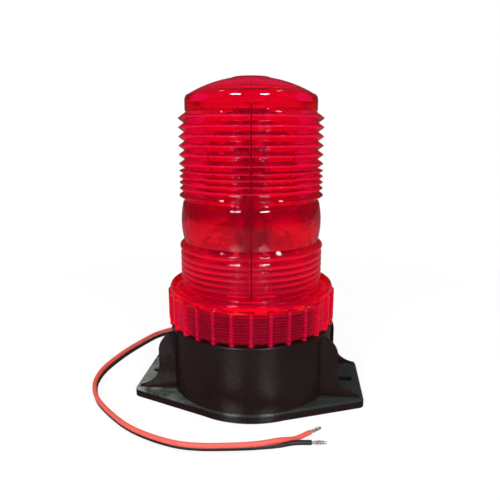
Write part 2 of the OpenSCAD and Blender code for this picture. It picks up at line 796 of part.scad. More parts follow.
module collar() {
    color([0.8, 0.03, 0.12, 0.6]) rotate([0, 0, lens_turn - 90]) difference() {
        union() {
            rotate_extrude() collar_section();
            on_circle(rib_circle, [for (i = [0:grip_ribs - 1]) 360 * i / grip_ribs]) grip_rib();
        }
        column(bore_r, skirt_z - rib_hang - 1, lip_z);
    }
}

module lead_red() {
    color([0.85, 0.3, 0.25]) tube(lead_path(-1, tail_red), lead_r);
}

module lead_black() {
    color([0.08, 0.08, 0.08]) tube(lead_path(1, tail_black), lead_r);
}

// Bare strands that carry on from the last stretch of a lead
module strands(tail) {
    end = tail[1];
    step = end - tail[0];
    translate([end[0], end[1], lead_r]) rotate([0, 90, atan2(step[1], step[0])])
        cylinder(r = strand_diameter / 2, h = strand_length, $fn = small_fn);
}

module strands_red() {
    color("silver") strands(tail_red);
}

module strands_black() {
    color("silver") strands(tail_black);
}

base_housing();
bottom_cover();
cover_screws();
cable_grommet();
inner_leads();
terminal_block();
terminal_screws();
main_board();
board_screws();
capacitors();
choke_core();
choke_winding();
driver_chips();
harness_socket();
tower_wires();
tower_foot();
tower_screws();
tower_core();
led_boards();
leds();
crown_board();
crown_leds();
crown_screw();
lens_gasket();
lens();
collar();
lead_red();
lead_black();
strands_red();
strands_black();
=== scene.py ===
"""Strobe warning light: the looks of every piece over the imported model, laid out as a Blender add-on."""

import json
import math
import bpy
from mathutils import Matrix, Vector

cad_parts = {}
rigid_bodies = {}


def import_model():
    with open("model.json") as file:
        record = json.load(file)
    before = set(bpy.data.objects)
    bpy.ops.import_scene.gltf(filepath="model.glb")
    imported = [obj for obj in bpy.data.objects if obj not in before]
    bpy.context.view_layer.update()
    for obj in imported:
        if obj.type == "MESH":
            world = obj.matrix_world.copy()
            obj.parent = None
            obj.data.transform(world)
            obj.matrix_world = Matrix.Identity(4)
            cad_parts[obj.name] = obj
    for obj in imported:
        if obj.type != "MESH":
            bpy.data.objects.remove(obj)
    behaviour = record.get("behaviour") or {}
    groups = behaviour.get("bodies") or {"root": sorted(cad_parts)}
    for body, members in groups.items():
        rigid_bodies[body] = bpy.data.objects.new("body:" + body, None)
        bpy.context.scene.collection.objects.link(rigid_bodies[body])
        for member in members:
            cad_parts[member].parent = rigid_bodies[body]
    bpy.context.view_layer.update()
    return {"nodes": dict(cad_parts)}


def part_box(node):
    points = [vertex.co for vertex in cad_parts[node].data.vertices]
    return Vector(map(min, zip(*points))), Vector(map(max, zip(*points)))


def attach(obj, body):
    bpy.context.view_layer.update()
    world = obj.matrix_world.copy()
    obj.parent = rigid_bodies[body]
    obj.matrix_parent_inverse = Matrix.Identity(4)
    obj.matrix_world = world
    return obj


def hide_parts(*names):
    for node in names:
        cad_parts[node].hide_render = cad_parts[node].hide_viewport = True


bl_info = {
    "name": "Strobe Warning Light",
    "version": (1, 0, 0),
    "blender": (4, 5, 0),
    "location": "3D View > Sidebar > Warning Light",
    "description": "Ribbed red lens, threaded collar, black housing and lamp tower over the packed model",
    "category": "Object",
}

import bmesh
import bpy
from mathutils import Matrix, Vector

for leftover in list(bpy.data.objects):
    bpy.data.objects.remove(leftover)
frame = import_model()

MM = 0.001
TURN = 2 * math.pi

# Heights and radii of the solids
LENS_LOW, LENS_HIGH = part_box("lens")
COLLAR_LOW, COLLAR_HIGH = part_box("collar")
LENS_TOP = LENS_HIGH.z
FLANGE_R = LENS_HIGH.x
BAND_R = FLANGE_R - 3.2 * MM
NECK_R = FLANGE_R + 0.1 * MM
SPIGOT_Z = LENS_LOW.z
FLANGE_Z = SPIGOT_Z + 3 * MM
FLANGE_TOP = FLANGE_Z + 2 * MM
NECK_TOP = FLANGE_Z - 1.5 * MM
LIP_Z = FLANGE_TOP + 0.15 * MM
LIP_TOP = LIP_Z + 2.2 * MM
SKIRT_Z = COLLAR_LOW.z + 1.2 * MM
RIM_Z = COLLAR_HIGH.z
SHOULDER_Z = SKIRT_Z - 1.8 * MM
RIB_OUT_R = 47.7 * MM
COLLAR_R = 46.6 * MM

# Inside this radius the lens's wall has the ripples of a quickly cooled moulding
SMOOTH_BORE = BAND_R - 4.2 * MM
# Radius of the small screws, and the height of their threads and of the choke's turns
SCREW_R = 1.45 * MM
THREAD_CREST = 0.22 * MM

# The red dye's tint and density; the red of the plastic's haze and painted glow; the painted glow of the
# lens's rib tips; the painted shade of the parting line and of the collar's rows; and the painted orange
# glint along the collar's rib tops
DYE_TINT = (0.985, 0.10, 0.50)
DYE_DENSITY = 160.0
HAZE_AND_GLOW_RED = (0.93, 0.003, 0.06)
TIP_GLOW_RED = (0.95, 0.01, 0.09)
PAINTED_SHADE_RED = (0.10, 0.002, 0.008)
PAINTED_GLINT_ORANGE = (1.0, 0.09, 0.008)

# The foot plate's top, painted greenish grey as a reflection, and its left end, painted paler as a reflection
PAINTED_TOP_REFLECTION = (0.02, 0.025, 0.021)
PAINTED_LEFT_REFLECTION = (0.20, 0.235, 0.20)

# The photograph's camera: its place, tilt and turn in degrees, focal length in mm, and shift
CAMERA_PLACE = (27.86 * MM, -272.42 * MM, 144.35 * MM)
CAMERA_TILT = 77.17
CAMERA_TURN = 5.84
CAMERA_LENS = 35.28
CAMERA_SHIFT = -0.0024
CAMERA_AZIMUTH = math.radians(-84.16)

# The lens's parting line and one grip rib face the camera
FACING = math.radians(-84.2)


def length(name, description, default):
    """Property of a size in metres."""
    return bpy.props.FloatProperty(
        name=name, description=description, default=default, min=0.0, unit="LENGTH", precision=5
    )


def colour(name, description, default):
    """Property of a linear colour."""
    return bpy.props.FloatVectorProperty(
        name=name, description=description, default=default, subtype="COLOR", size=3, min=0.0, max=1.0
    )


def fraction(name, description, default):
    """Property of a number from nought to one."""
    return bpy.props.FloatProperty(
        name=name, description=description, default=default, min=0.0, max=1.0, subtype="FACTOR"
    )


class LightSizes(bpy.types.PropertyGroup):
    """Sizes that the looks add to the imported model"""

    rib_easing: length("Rib easing", "How far the tips and grooves of the lens's ribs are rounded", 0.45 * MM)
    parting_width: length("Parting line", "Width of the lens's mould parting ridge", 0.6 * MM)
    parting_height: length("Parting height", "Height of the lens's mould parting ridge", 0.3 * MM)
    thread_pitch: length("Thread pitch", "Rise of the collar's thread in one turn", 2.5 * MM)
    thread_depth: length("Thread depth", "Depth of the thread on the neck and in the collar", 0.62 * MM)
    edge_easing: length("Edge easing", "Rounding of the housing's moulded edges", 0.5 * MM)
    lead_diameter: length("Lead diameter", "Diameter of one insulated lead", 2.4 * MM)
    strand_diameter: length("Strand diameter", "Diameter of one bare wire of a lead", 0.42 * MM)
    strand_length: length("Strand length", "Length of the bare end of a lead", 7.6 * MM)
    grip_ribs: bpy.props.IntProperty(
        name="Grip ribs", description="Number of grip ribs on the collar", default=30, min=3
    )


class LightColours(bpy.types.PropertyGroup):
    """Colours and finishes of the pieces"""

    lens_red: colour("Lens", "Colour of the clear red lens", (0.90, 0.006, 0.115))
    collar_red: colour("Collar", "Colour of the clear red collar", (0.90, 0.006, 0.115))
    housing_black: colour("Housing", "Colour of the moulded housing", (0.0095, 0.003, 0.0035))
    rubber_black: colour("Rubber", "Colour of the bush and the seal", (0.018, 0.018, 0.018))
    lead_red: colour("Red lead", "Colour of the red insulation", (0.68, 0.095, 0.07))
    lead_black: colour("Black lead", "Colour of the black insulation", (0.014, 0.014, 0.015))
    floor_white: colour("Floor", "Colour of the floor", (0.93, 0.93, 0.93))
    housing_roughness: fraction("Housing roughness", "Roughness of the moulded housing", 0.24)
    lens_roughness: fraction("Lens roughness", "Roughness of the red plastic", 0.02)


def sizes():
    """The sizes kept on the scene."""
    return bpy.context.scene.light_sizes


def colours():
    """The colours kept on the scene."""
    return bpy.context.scene.light_colours


def math_node(operation, swapped=False):
    """A method that adds one Math node on a value and any others, which come first if swapped."""

    def method(self, *others):
        return self.math(operation, *((*others, self) if swapped else (self, *others)))

    return method


class Value:
    """An output socket of a node tree, on which Python's operators add Math nodes."""

    __add__ = math_node("ADD")
    __radd__ = math_node("ADD", swapped=True)
    __sub__ = math_node("SUBTRACT")
    __rsub__ = math_node("SUBTRACT", swapped=True)
    __mul__ = math_node("MULTIPLY")
    __rmul__ = math_node("MULTIPLY", swapped=True)
    __truediv__ = math_node("DIVIDE")
    __rtruediv__ = math_node("DIVIDE", swapped=True)
    __gt__ = math_node("GREATER_THAN")
    __lt__ = math_node("LESS_THAN")
    power = math_node("POWER")
    sine = math_node("SINE")
    cosine = math_node("COSINE")
    absolute = math_node("ABSOLUTE")
    fract = math_node("FRACT")
    lowest = math_node("MINIMUM")
    highest = math_node("MAXIMUM")

    def __init__(self, net, socket):
        self.net = net
        self.socket = socket

    def math(self, operation, *values):
        return self.net.add("ShaderNodeMath", dict(enumerate(values)), {"operation": operation})

    def ramp(self, low, high):
        """Runs smoothly from 0 at low to 1 at high."""
        limits = {"Value": self, "From Min": low, "From Max": high}
        return self.net.add("ShaderNodeMapRange", limits, {"interpolation_type": "SMOOTHSTEP"})


def from_axis(x, y):
    """Distance from the upright axis."""
    return (x * x + y * y).power(0.5)


def off_seam(x, y):
    """Distance from the upright plane through the axis and the lens's parting line."""
    return (x * math.sin(FACING) - y * math.cos(FACING)).absolute()


class Net:
    """A node tree, with one method that adds any node."""

    def __init__(self, tree):
        self.tree = tree

    def add(self, kind, values=None, settings=None, output=0):
        """Adds a node, makes its settings, fills or links its sockets, and returns one of its outputs."""
        node = self.tree.nodes.new(kind)
        for name, setting in (settings or {}).items():
            setattr(node, name, setting)
        for key, value in (values or {}).items():
            if isinstance(value, Value):
                self.tree.links.new(value.socket, node.inputs[key])
            elif value is not None:
                node.inputs[key].default_value = value
        return Value(self, node.outputs[output]) if len(node.outputs) else None

    def axes(self, at):
        """The three coordinates of a vector."""
        split = self.add("ShaderNodeSeparateXYZ", {0: at})
        return [Value(self, socket) for socket in split.socket.node.outputs]

    def rays(self, kind):
        """One for the rays of a kind, such as Camera."""
        return self.add("ShaderNodeLightPath", output=f"Is {kind} Ray")

    def white(self, kind, strength):
        """White Emission or Background."""
        return self.add("ShaderNode" + kind, {"Color": (1.0, 1.0, 1.0, 1.0), "Strength": strength})

    def mix_shaders(self, share, first, second):
        return self.add("ShaderNodeMixShader", {0: share, 1: first, 2: second})


class Finish(Net):
    """The node tree of a new material."""

    def __init__(self, name):
        self.material = bpy.data.materials.new(name)
        self.material.use_nodes = True
        super().__init__(self.material.node_tree)
        self.tree.nodes.clear()
        self.at = self.add("ShaderNodeTexCoord", output="Object")

    def stretched(self, *scale, at=None):
        """Coordinates scaled by a factor each."""
        return self.add("ShaderNodeMapping", {"Vector": at or self.at, "Scale": scale})

    def noise(self, scale, detail, roughness=0.5, at=None):
        values = {"Vector": at or self.at, "Scale": scale, "Detail": detail, "Roughness": roughness}
        return self.add("ShaderNodeTexNoise", values)

    def mix(self, factor, first, second):
        """Mixes two colours, each a triple or a link."""
        first, second = (shade if isinstance(shade, Value) else rgba(shade) for shade in (first, second))
        return self.add("ShaderNodeMix", {0: factor, 6: first, 7: second}, {"data_type": "RGBA"}, 2)

    def bump(self, height, strength, distance, normal=None):
        values = {"Height": height, "Strength": strength, "Distance": distance, "Normal": normal}
        return self.add("ShaderNodeBump", values)

    def principled(self, **values):
        """A Principled surface, with its sockets named by words joined with underscores."""
        named = {key.replace("_", " ").title().replace("Ior", "IOR"): value for key, value in values.items()}
        return self.add("ShaderNodeBsdfPrincipled", named)

    def done(self, surface, volume=None):
        """Links the output and returns the material."""
        self.add("ShaderNodeOutputMaterial", {"Surface": surface, "Volume": volume})
        return self.material

    def finished(self, **values):
        """Links one Principled surface to the output and returns the material."""
        return self.done(self.principled(**values))


def rgba(shade):
    """A colour with full alpha."""
    return (*shade, 1.0)


def paler(shade, share):
    """A colour moved towards white by a share."""
    return tuple(c + (1 - c) * share for c in shade)


def darker(shade, share):
    """A colour moved towards black by a share."""
    return tuple(c * (1 - share) for c in shade)


def moulded_plastic(name, shade, roughness, grain=0.05, specular=0.5, polish_and_painted_reflection=0.0):
    """Moulded plastic with flow marks, a fine grain, faint smudges, and a polish just below a height, where
    its colour is a painted reflection that is paler towards the left end.
    """
    net = Finish(name)
    flow = net.noise(42, 3)
    smudge = net.noise(150, 5, 0.65).ramp(0.45, 0.75)
    tint = net.mix(flow, darker(shade, 0.12), paler(shade, 0.004))
    rough = roughness + 0.05 * flow + 0.07 * smudge
    normal = net.bump(net.noise(2600, 4, 0.6), grain, 0.05 * MM)
    coat_and_painted_reflection = 0.0
    if polish_and_painted_reflection:
        x, _, z = net.axes(net.at)
        # Below the height the plastic takes a clear coat, and its colour is a painted reflection, paler at
        # the left end
        coat_and_painted_reflection = z.ramp(polish_and_painted_reflection - 1.6 * MM, polish_and_painted_reflection - 1.2 * MM) * (z < polish_and_painted_reflection)
        painted_left_reflection = x.ramp(-0.02, -0.06) * net.noise(60, 4, 0.6).ramp(0.3, 0.6)
        tint = net.mix(coat_and_painted_reflection, tint, net.mix(painted_left_reflection, PAINTED_TOP_REFLECTION, PAINTED_LEFT_REFLECTION))
    return net.finished(
        base_color=tint, roughness=rough, ior=1.5, normal=normal, specular_ior_level=specular,
        coat_weight=coat_and_painted_reflection, coat_roughness=0.12
    )


def clear_red_plastic(name, shade, gloss, haze_and_painted_light, smooth=()):
    """Clear red plastic that refracts, soaks up light along its thickness and lets red light through inside.

    Milky gives how much of the surface is hazy, as real haze and as painted glow and painted shade, and its
    colour.
    The fine draw lines stop between the smooth heights, and the first of these is the barrel, which is
    rippled on its inner side.
    """
    net = Finish(name)
    haze = net.noise(120, 4, 0.6).ramp(0.4, 0.8)
    flow = net.noise(30, 2)
    tint = net.mix(flow, darker(shade, 0.06), shade)
    lines = net.noise(1.0, 3, 0.6, net.stretched(160.0, 160.0, 1500.0))
    x, y, z = net.axes(net.at)
    for low, high in smooth:
        lines = lines * (1.0 - (z > low) * (z < high))
    wave = net.bump(flow, 0.04, 0.3 * MM)
    rough = colours().lens_roughness + 0.02 * haze
    if smooth:
        low, high = smooth[0]
        inside = (from_axis(x, y) < SMOOTH_BORE) * (z > low) * (z < high)
        wave = net.bump(net.noise(95, 3) * inside, 0.7, 1.6 * MM, wave)
        rough = rough + 0.18 * inside
    wave = net.bump(lines, 0.4, 0.1 * MM, wave)
    glass = net.principled(
        base_color=tint, roughness=rough, ior=1.57, transmission_weight=0.96, normal=wave,
        specular_tint=rgba([gloss] * 3)
    )
    share, tone = haze_and_painted_light(net, x, y, z)
    # Hazy red surface, mixed in by share: partly real haze, partly painted glow and painted shade
    haze_and_painted_light_surface = net.principled(base_color=tone, roughness=0.6, normal=wave, specular_ior_level=0.0)
    passing = net.add("ShaderNodeBsdfTransparent", {"Color": rgba(paler(shade, 0.04))})
    surface = net.mix_shaders(net.rays("Shadow"), net.mix_shaders(share, glass, haze_and_painted_light_surface), passing)
    volume = net.add("ShaderNodeVolumeAbsorption", {"Color": rgba(DYE_TINT), "Density": DYE_DENSITY})
    return net.done(surface, volume)


def soft_rubber(name, shade):
    """Matte rubber with a dusty bloom."""
    net = Finish(name)
    bloom = net.noise(260, 5, 0.6).ramp(0.4, 0.8)
    tint = net.mix(bloom, shade, paler(shade, 0.02))
    normal = net.bump(net.noise(3000, 3), 0.12, 0.06 * MM)
    return net.finished(base_color=tint, roughness=0.62 + 0.15 * bloom, normal=normal)


def insulation(name, shade, bond):
    """Satin wire insulation with draw lines, a little dirt, and the torn bond's colour on its pair's side."""
    net = Finish(name)
    around = net.add("ShaderNodeUVMap", None, {"uv_map": "along"})
    lines = net.noise(1.0, 2, at=net.stretched(60.0, 0.8, 1.0, at=around))
    dirt = net.noise(210, 4, 0.6).ramp(0.5, 0.85)
    ragged = net.noise(1.0, 2, at=net.stretched(2.0, 1.5, 1.0, at=around))
    side = (net.axes(around)[0] - 0.5).absolute() + 0.05 * (ragged - 0.5)
    strip = side.ramp(0.40, 0.43)
    tint = net.mix(strip, net.mix(dirt * 0.5, shade, darker(shade, 0.35)), bond)
    rough = 0.34 + 0.1 * lines + 0.12 * dirt + 0.15 * strip
    normal = net.bump(lines + strip * 0.6, 0.15, 0.06 * MM)
    return net.finished(base_color=tint, roughness=rough, ior=1.5, normal=normal, specular_ior_level=0.35)


def banded_plastic(name, edges, shades):
    """Satin wire insulation in one colour after another along x."""
    net = Finish(name)
    x = net.axes(net.at)[0]
    dirt = net.noise(300, 4, 0.6)
    tint = shades[0]
    for edge, shade in zip(edges, shades[1:]):
        tint = net.mix(x > edge, tint, shade)
    tint = net.mix(0.25 * dirt, tint, (0.05, 0.045, 0.04))
    return net.finished(base_color=tint, roughness=0.35 + 0.15 * dirt, normal=net.bump(dirt, 0.1, 0.04 * MM))


def plated_metal(name, shade, roughness):
    """Bright plated metal with fine turning marks."""
    net = Finish(name)
    marks = net.noise(1500, 3)
    tint = net.mix(net.noise(180, 3), darker(shade, 0.12), shade)
    normal = net.bump(marks, 0.08, 0.05 * MM)
    return net.finished(base_color=tint, metallic=1.0, roughness=roughness + 0.14 * marks, normal=normal)


def extruded_aluminium(name, shade):
    """Aluminium with draw lines along the tower."""
    net = Finish(name)
    lines = net.noise(1.0, 3, at=net.stretched(2600.0, 2600.0, 30.0))
    tint = net.mix(lines, darker(shade, 0.2), shade)
    normal = net.bump(lines, 0.1, 0.05 * MM)
    return net.finished(base_color=tint, metallic=1.0, roughness=0.3 + 0.2 * lines, normal=normal)


def circuit_board(name, mask, copper):
    """Solder mask over straight copper tracks, with round pads between them."""
    net = Finish(name)
    x, y, _ = net.axes(net.at)
    cell = 2.6 * MM
    track = (((x + y) / cell).fract() - 0.5).absolute().ramp(0.30, 0.26)
    cross = (((x - y) / (3 * cell)).fract() - 0.5).absolute().ramp(0.10, 0.06)
    paths = track.highest(cross)
    cells = {"Vector": net.at, "Scale": 260.0, "Randomness": 0.4}
    pad = net.add("ShaderNodeTexVoronoi", cells, {"feature": "F1"}).ramp(0.22, 0.16)
    tint = net.mix(pad, net.mix(paths * 0.6, mask, paler(mask, 0.12)), copper)
    normal = net.bump(paths * 0.5 + pad, 0.3, 0.06 * MM)
    return net.finished(base_color=tint, metallic=pad * 0.8, roughness=0.3, normal=normal)


def phosphor(name, shade):
    """Yellow lamp filling with a fine crystal grain."""
    net = Finish(name)
    grain = net.noise(4200, 2)
    tint = net.mix(grain, darker(shade, 0.15), paler(shade, 0.1))
    return net.finished(base_color=tint, roughness=0.45, normal=net.bump(grain, 0.2, 0.04 * MM))


def in_metres(points):
    """Points in metres of points given in millimetres."""
    return [tuple(value * MM for value in point) for point in points]


def smooth_outline(outline, steps=3):
    """Rounds each (radius, height, easing) corner of a closed outline by a short curve."""
    points = []
    count = len(outline)
    for i, (r, z, easing) in enumerate(outline):
        corner = Vector((r, z))
        before = Vector(outline[i - 1][:2]) - corner
        after = Vector(outline[(i + 1) % count][:2]) - corner
        reach = min(easing, 0.45 * before.length, 0.45 * after.length)
        if reach < 0.01 * MM:
            points.append((r, z))
            continue
        start = corner + before.normalized() * reach
        end = corner + after.normalized() * reach
        for k in range(steps + 1):
            t = k / steps
            p = start * (1 - t) ** 2 + corner * (2 * t * (1 - t)) + end * t**2
            points.append((p.x, p.y))
    return points


def turned(outline, angles, shape=None):
    """Closed shell of (radius, height) points turned through the angles, each moved by shape if given."""
    verts, rings, faces = [], [], []
    for r, z in outline:
        if r < 1e-7:
            rings.append([len(verts)] * len(angles))
            verts.append((0.0, 0.0, z))
            continue
        rings.append(range(len(verts), len(verts) + len(angles)))
        for a in angles:
            radius, height = shape(a, r, z) if shape else (r, z)
            verts.append((radius * math.cos(a), radius * math.sin(a), height))
    for i, ring in enumerate(rings):
        below = rings[(i + 1) % len(rings)]
        for k in range(len(angles)):
            corners = list(dict.fromkeys((ring[k], ring[k - 1], below[k - 1], below[k])))
            if len(corners) > 2:
                faces.append(corners)
    return verts, faces


def evenly(count, start=0.0):
    """Angles of a whole turn in equal steps."""
    return [start + TURN * i / count for i in range(count)]


def tube_faces(rings, sides):
    """Faces of a closed tube of rings of points, one after another, with its two ends."""
    faces = []
    for i in range(rings - 1):
        for k in range(sides):
            here, there = i * sides + k, i * sides + (k + 1) % sides
            faces.append((here, there, there + sides, here + sides))
    faces.append(tuple(reversed(range(sides))))
    faces.append(tuple(range((rings - 1) * sides, rings * sides)))
    return faces


def swept(path, radius, sides, thinned=None, facing=None):
    """Closed round tube along a path, and the (u, v) of its points.

    Thinned gives a factor of the radius by the share of the path run, and u = 0 looks at the facing path.
    """
    verts, around = [], []
    count = len(path)
    side = None
    run = 0.0
    for i, point in enumerate(path):
        point = Vector(point)
        ahead = (Vector(path[min(i + 1, count - 1)]) - Vector(path[max(i - 1, 0)])).normalized()
        if facing:
            side = Vector(facing[min(i, len(facing) - 1)]) - point
        elif side is None:
            side = ahead.cross(Vector((0, 0, 1)))
        side = (side - ahead * side.dot(ahead)).normalized()
        up = side.cross(ahead)
        if i:
            run += (point - Vector(path[i - 1])).length
        size = radius * (thinned(i / (count - 1)) if thinned else 1.0)
        for k in range(sides):
            a = TURN * k / sides
            verts.append(point + side * (size * math.cos(a)) + up * (size * math.sin(a)))
            around.append((k / sides, run / radius))
    return (verts, tube_faces(count, sides)), around


def smooth_path(points, steps):
    """Catmull-Rom curve through the points."""
    path = []
    for i in range(len(points) - 1):
        a, b, c, d = (Vector(points[min(max(j, 0), len(points) - 1)]) for j in (i - 1, i, i + 1, i + 2))
        for k in range(steps):
            t = k / steps
            square, cube = 2 * a - 5 * b + 4 * c - d, 3 * b - a - 3 * c + d
            path.append(0.5 * (2 * b + (c - a) * t + square * t**2 + cube * t**3))
    path.append(Vector(points[-1]))
    return path


def shade_smooth(obj, sharp):
    """Smooths an object but for the edges sharper than an angle in degrees."""
    obj.data.shade_smooth()
    obj.data.set_sharp_from_angle(angle=math.radians(sharp))


def in_scene(name, mesh, material, sharp):
    """Smooth object of a mesh, put in the scene."""
    mesh.materials.append(material)
    obj = bpy.data.objects.new(name, mesh)
    bpy.context.scene.collection.objects.link(obj)
    shade_smooth(obj, sharp)
    return obj


def new_object(name, shape, material, sharp, closed=True):
    """Object of a (verts, faces) shape, smooth but for its sharp edges, with its faces pointing outwards."""
    verts, faces = shape
    mesh = bpy.data.meshes.new(name)
    mesh.from_pydata([tuple(v) for v in verts], [], faces)
    if closed:
        shell = bmesh.new()
        shell.from_mesh(mesh)
        bmesh.ops.recalc_face_normals(shell, faces=shell.faces)
        shell.to_mesh(mesh)
        shell.free()
    return in_scene(name, mesh, material, sharp)


def merged(name, parts, material, sharp):
    """One object of several (verts, faces) shapes."""
    verts, faces = [], []
    for part_verts, part_faces in parts:
        faces.extend([i + len(verts) for i in face] for face in part_faces)
        verts.extend(part_verts)
    return new_object(name, (verts, faces), material, sharp)


def settle(obj):
    """Turns an object's evaluated modifiers into its plain mesh."""
    bpy.context.view_layer.update()
    evaluated = obj.evaluated_get(bpy.context.evaluated_depsgraph_get())
    mesh = bpy.data.meshes.new_from_object(evaluated)
    mesh.name = obj.name
    obj.modifiers.clear()
    obj.data = mesh
    return obj


def mount_on(obj, body, slot, *nodes):
    """Makes a finished piece ride on its body and stand for CAD nodes, which it hides; the slot is not used.
    """
    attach(obj, body)
    if nodes:
        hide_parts(*nodes)
    return obj


def dress(node, material):
    """Gives a CAD node its finish."""
    mesh = frame["nodes"][node].data
    mesh.materials.clear()
    mesh.materials.append(material)


def smooth_copy(node, name, material, easing, sharp=30.0):
    """A merged copy of a CAD node, with its moulded edges eased."""
    shell = bmesh.new()
    shell.from_mesh(frame["nodes"][node].data)
    bmesh.ops.remove_doubles(shell, verts=shell.verts, dist=0.002 * MM)
    bmesh.ops.dissolve_limit(shell, angle_limit=0.01, verts=shell.verts, edges=shell.edges)
    mesh = bpy.data.meshes.new(name)
    shell.to_mesh(mesh)
    shell.free()
    obj = in_scene(name, mesh, material, sharp)
    bevel = obj.modifiers.new("easing", "BEVEL")
    bevel.width = easing
    bevel.segments = 2
    bevel.limit_method = "ANGLE"
    bevel.angle_limit = math.radians(sharp)
    bevel.use_clamp_overlap = True
    bevel.harden_normals = True
    return settle(obj)


class GeometryTree(Net):
    """A geometry node group with named inputs."""

    def __init__(self, name, inputs):
        tree = bpy.data.node_groups.new(name, "GeometryNodeTree")
        super().__init__(tree)
        tree.interface.new_socket("Geometry", in_out="INPUT", socket_type="NodeSocketGeometry")
        for label, kind in inputs:
            tree.interface.new_socket(label, in_out="INPUT", socket_type="NodeSocket" + kind)
        tree.interface.new_socket("Geometry", in_out="OUTPUT", socket_type="NodeSocketGeometry")
        self.entry = self.tree.nodes.new("NodeGroupInput")

    def given(self, label):
        return Value(self, self.entry.outputs[label])

    def finish(self, geometry):
        """Realises the instances, sets the material and links the output."""
        whole = self.add("GeometryNodeRealizeInstances", {0: geometry})
        dressed = self.add("GeometryNodeSetMaterial", {0: whole, "Material": self.given("Material")})
        self.add("NodeGroupOutput", {0: dressed})
        return self.tree


def fastener(node, name, head, shank, place, count, first, material, facing=1, slotted=False):
    """Screws round the axis for a CAD node: a head whose face has a cross or slot, and a threaded shank.

    The head's (radius, height) points run down from its face, which looks up if facing is 1, else down.
    """
    low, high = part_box(node)
    outer, tip = head[0][0], low.z - high.z
    depth = 0.3 * outer
    outline = [(0.0, -depth, 0.0)] + [(outer * i / 8, 0.0, 0.0) for i in range(1, 8)]
    outline += [(r, z, 0.1 * MM) for r, z in head]
    under = head[-1][1]
    if shank:
        outline += [(shank, under + (tip - under) * i / 80, 0.0) for i in range(1, 80)]
        outline += [(shank, tip, 0.3 * MM)]
    outline.append((0.0, tip if shank else under, 0.0))

    def cut(a, r, z):
        x, y = abs(r * math.cos(a)), abs(r * math.sin(a))
        across = y if slotted else min(x, y)
        if z == 0.0 and across < 0.14 * outer and (slotted or r < 0.7 * outer):
            z -= depth * (1.0 if slotted else 1 - 0.7 * r / outer)
        return r, z

    screw = new_object(name, turned(smooth_outline(outline, 2), evenly(48), cut), material, 35)
    if shank:
        threaded(
            screw, material, 35, shank, 0.05 * MM, pitch=1.0 * MM, depth=THREAD_CREST, low=tip, high=under
        )
    face = Matrix.Translation((place, 0, high.z if facing > 0 else low.z))
    screw.data.transform(face @ Matrix.Diagonal((1, facing, facing, 1)))
    return ring_of(screw, material, count, first=first)


def stacked(rings):
    """Closed block of square sections, each (half side, height), with cut corners."""
    verts = []
    for half, height in rings:
        cut = 0.82 * half
        corners = [(half, -cut), (half, cut), (cut, half), (-cut, half)]
        verts.extend((sign * x, sign * y, height) for sign in (1, -1) for x, y in corners)
    return verts, tube_faces(len(rings), 8)


def copies_tree():
    """Copies of the given mesh in stacks round an axis: turned about z, then lifted by the pitch."""
    net = GeometryTree(
        "Copies round an axis",
        [("Count", "Int"), ("Rows", "Int"), ("First angle", "Float"), ("Pitch", "Float"),
         ("Material", "Material")],
    )
    lift = net.add("ShaderNodeCombineXYZ", {2: net.given("Pitch")})
    stack = net.add("GeometryNodeMeshLine", {"Count": net.given("Rows"), "Offset": lift})
    column = net.add("GeometryNodeInstanceOnPoints", {"Points": stack, "Instance": net.given("Geometry")})
    stations = net.add("GeometryNodeMeshLine", {"Count": net.given("Count"), "Offset": (0.0, 0.0, 0.0)})
    step = net.add("GeometryNodeInputIndex") * TURN / net.given("Count") + net.given("First angle")
    turn = net.add("ShaderNodeCombineXYZ", {2: step})
    ring = net.add("GeometryNodeInstanceOnPoints", {"Points": stations, "Instance": column, "Rotation": turn})
    return net.finish(ring)


def thread_tree():
    """Pushes a wall out in a right-hand screw thread between two heights, easing in at both ends."""
    net = GeometryTree(
        "Screw thread",
        [(label, "Float") for label in ("Pitch", "Depth", "Low", "High", "Inside", "Outside")]
        + [("Material", "Material")],
    )
    place = net.add("GeometryNodeInputPosition")
    x, y, z = net.axes(place)
    radius = from_axis(x, y)
    angle = y.math("ARCTAN2", y, x)
    wave = 0.5 + 0.5 * ((z / net.given("Pitch") - angle / TURN) * TURN).cosine()
    crest = wave.ramp(0.15, 0.85)
    run_in = ((z - net.given("Low")) / net.given("Pitch")).highest(0.0).lowest(1.0)
    run_out = ((net.given("High") - z) / net.given("Pitch")).highest(0.0).lowest(1.0)
    wall = (radius > net.given("Inside")) * (radius < net.given("Outside"))
    push = crest * run_in * run_out * wall * net.given("Depth") / radius
    flat = net.add("ShaderNodeCombineXYZ", {0: x * push, 1: y * push})
    moved = net.add("GeometryNodeSetPosition", {"Geometry": net.given("Geometry"), "Offset": flat})
    return net.finish(moved)


def run_tree(obj, tree, material, sharp, **values):
    """Runs a geometry tree on an object, its inputs named by joined words, and smooths the result."""
    modifier = obj.modifiers.new(tree.name, "NODES")
    modifier.node_group = tree
    named = {key.replace("_", " ").capitalize(): value for key, value in values.items()}
    named["Material"] = material
    for item in tree.interface.items_tree:
        if item.in_out == "INPUT" and item.name in named:
            modifier[item.identifier] = named[item.name]
    settle(obj)
    shade_smooth(obj, sharp)
    return obj


def threaded(obj, material, sharp, radius, margin, **values):
    """Runs a screw thread on an object's wall at a radius, within a margin."""
    limits = {"inside": radius - margin, "outside": radius + margin}
    return run_tree(obj, thread_tree(), material, sharp, **limits, **values)


def ring_of(template, material, count, rows=1, pitch=0.0, first=0.0, sharp=35):
    """Copies a template mesh round the axis."""
    return run_tree(
        template, copies_tree(), material, sharp, count=count, rows=rows, pitch=pitch, first_angle=first
    )


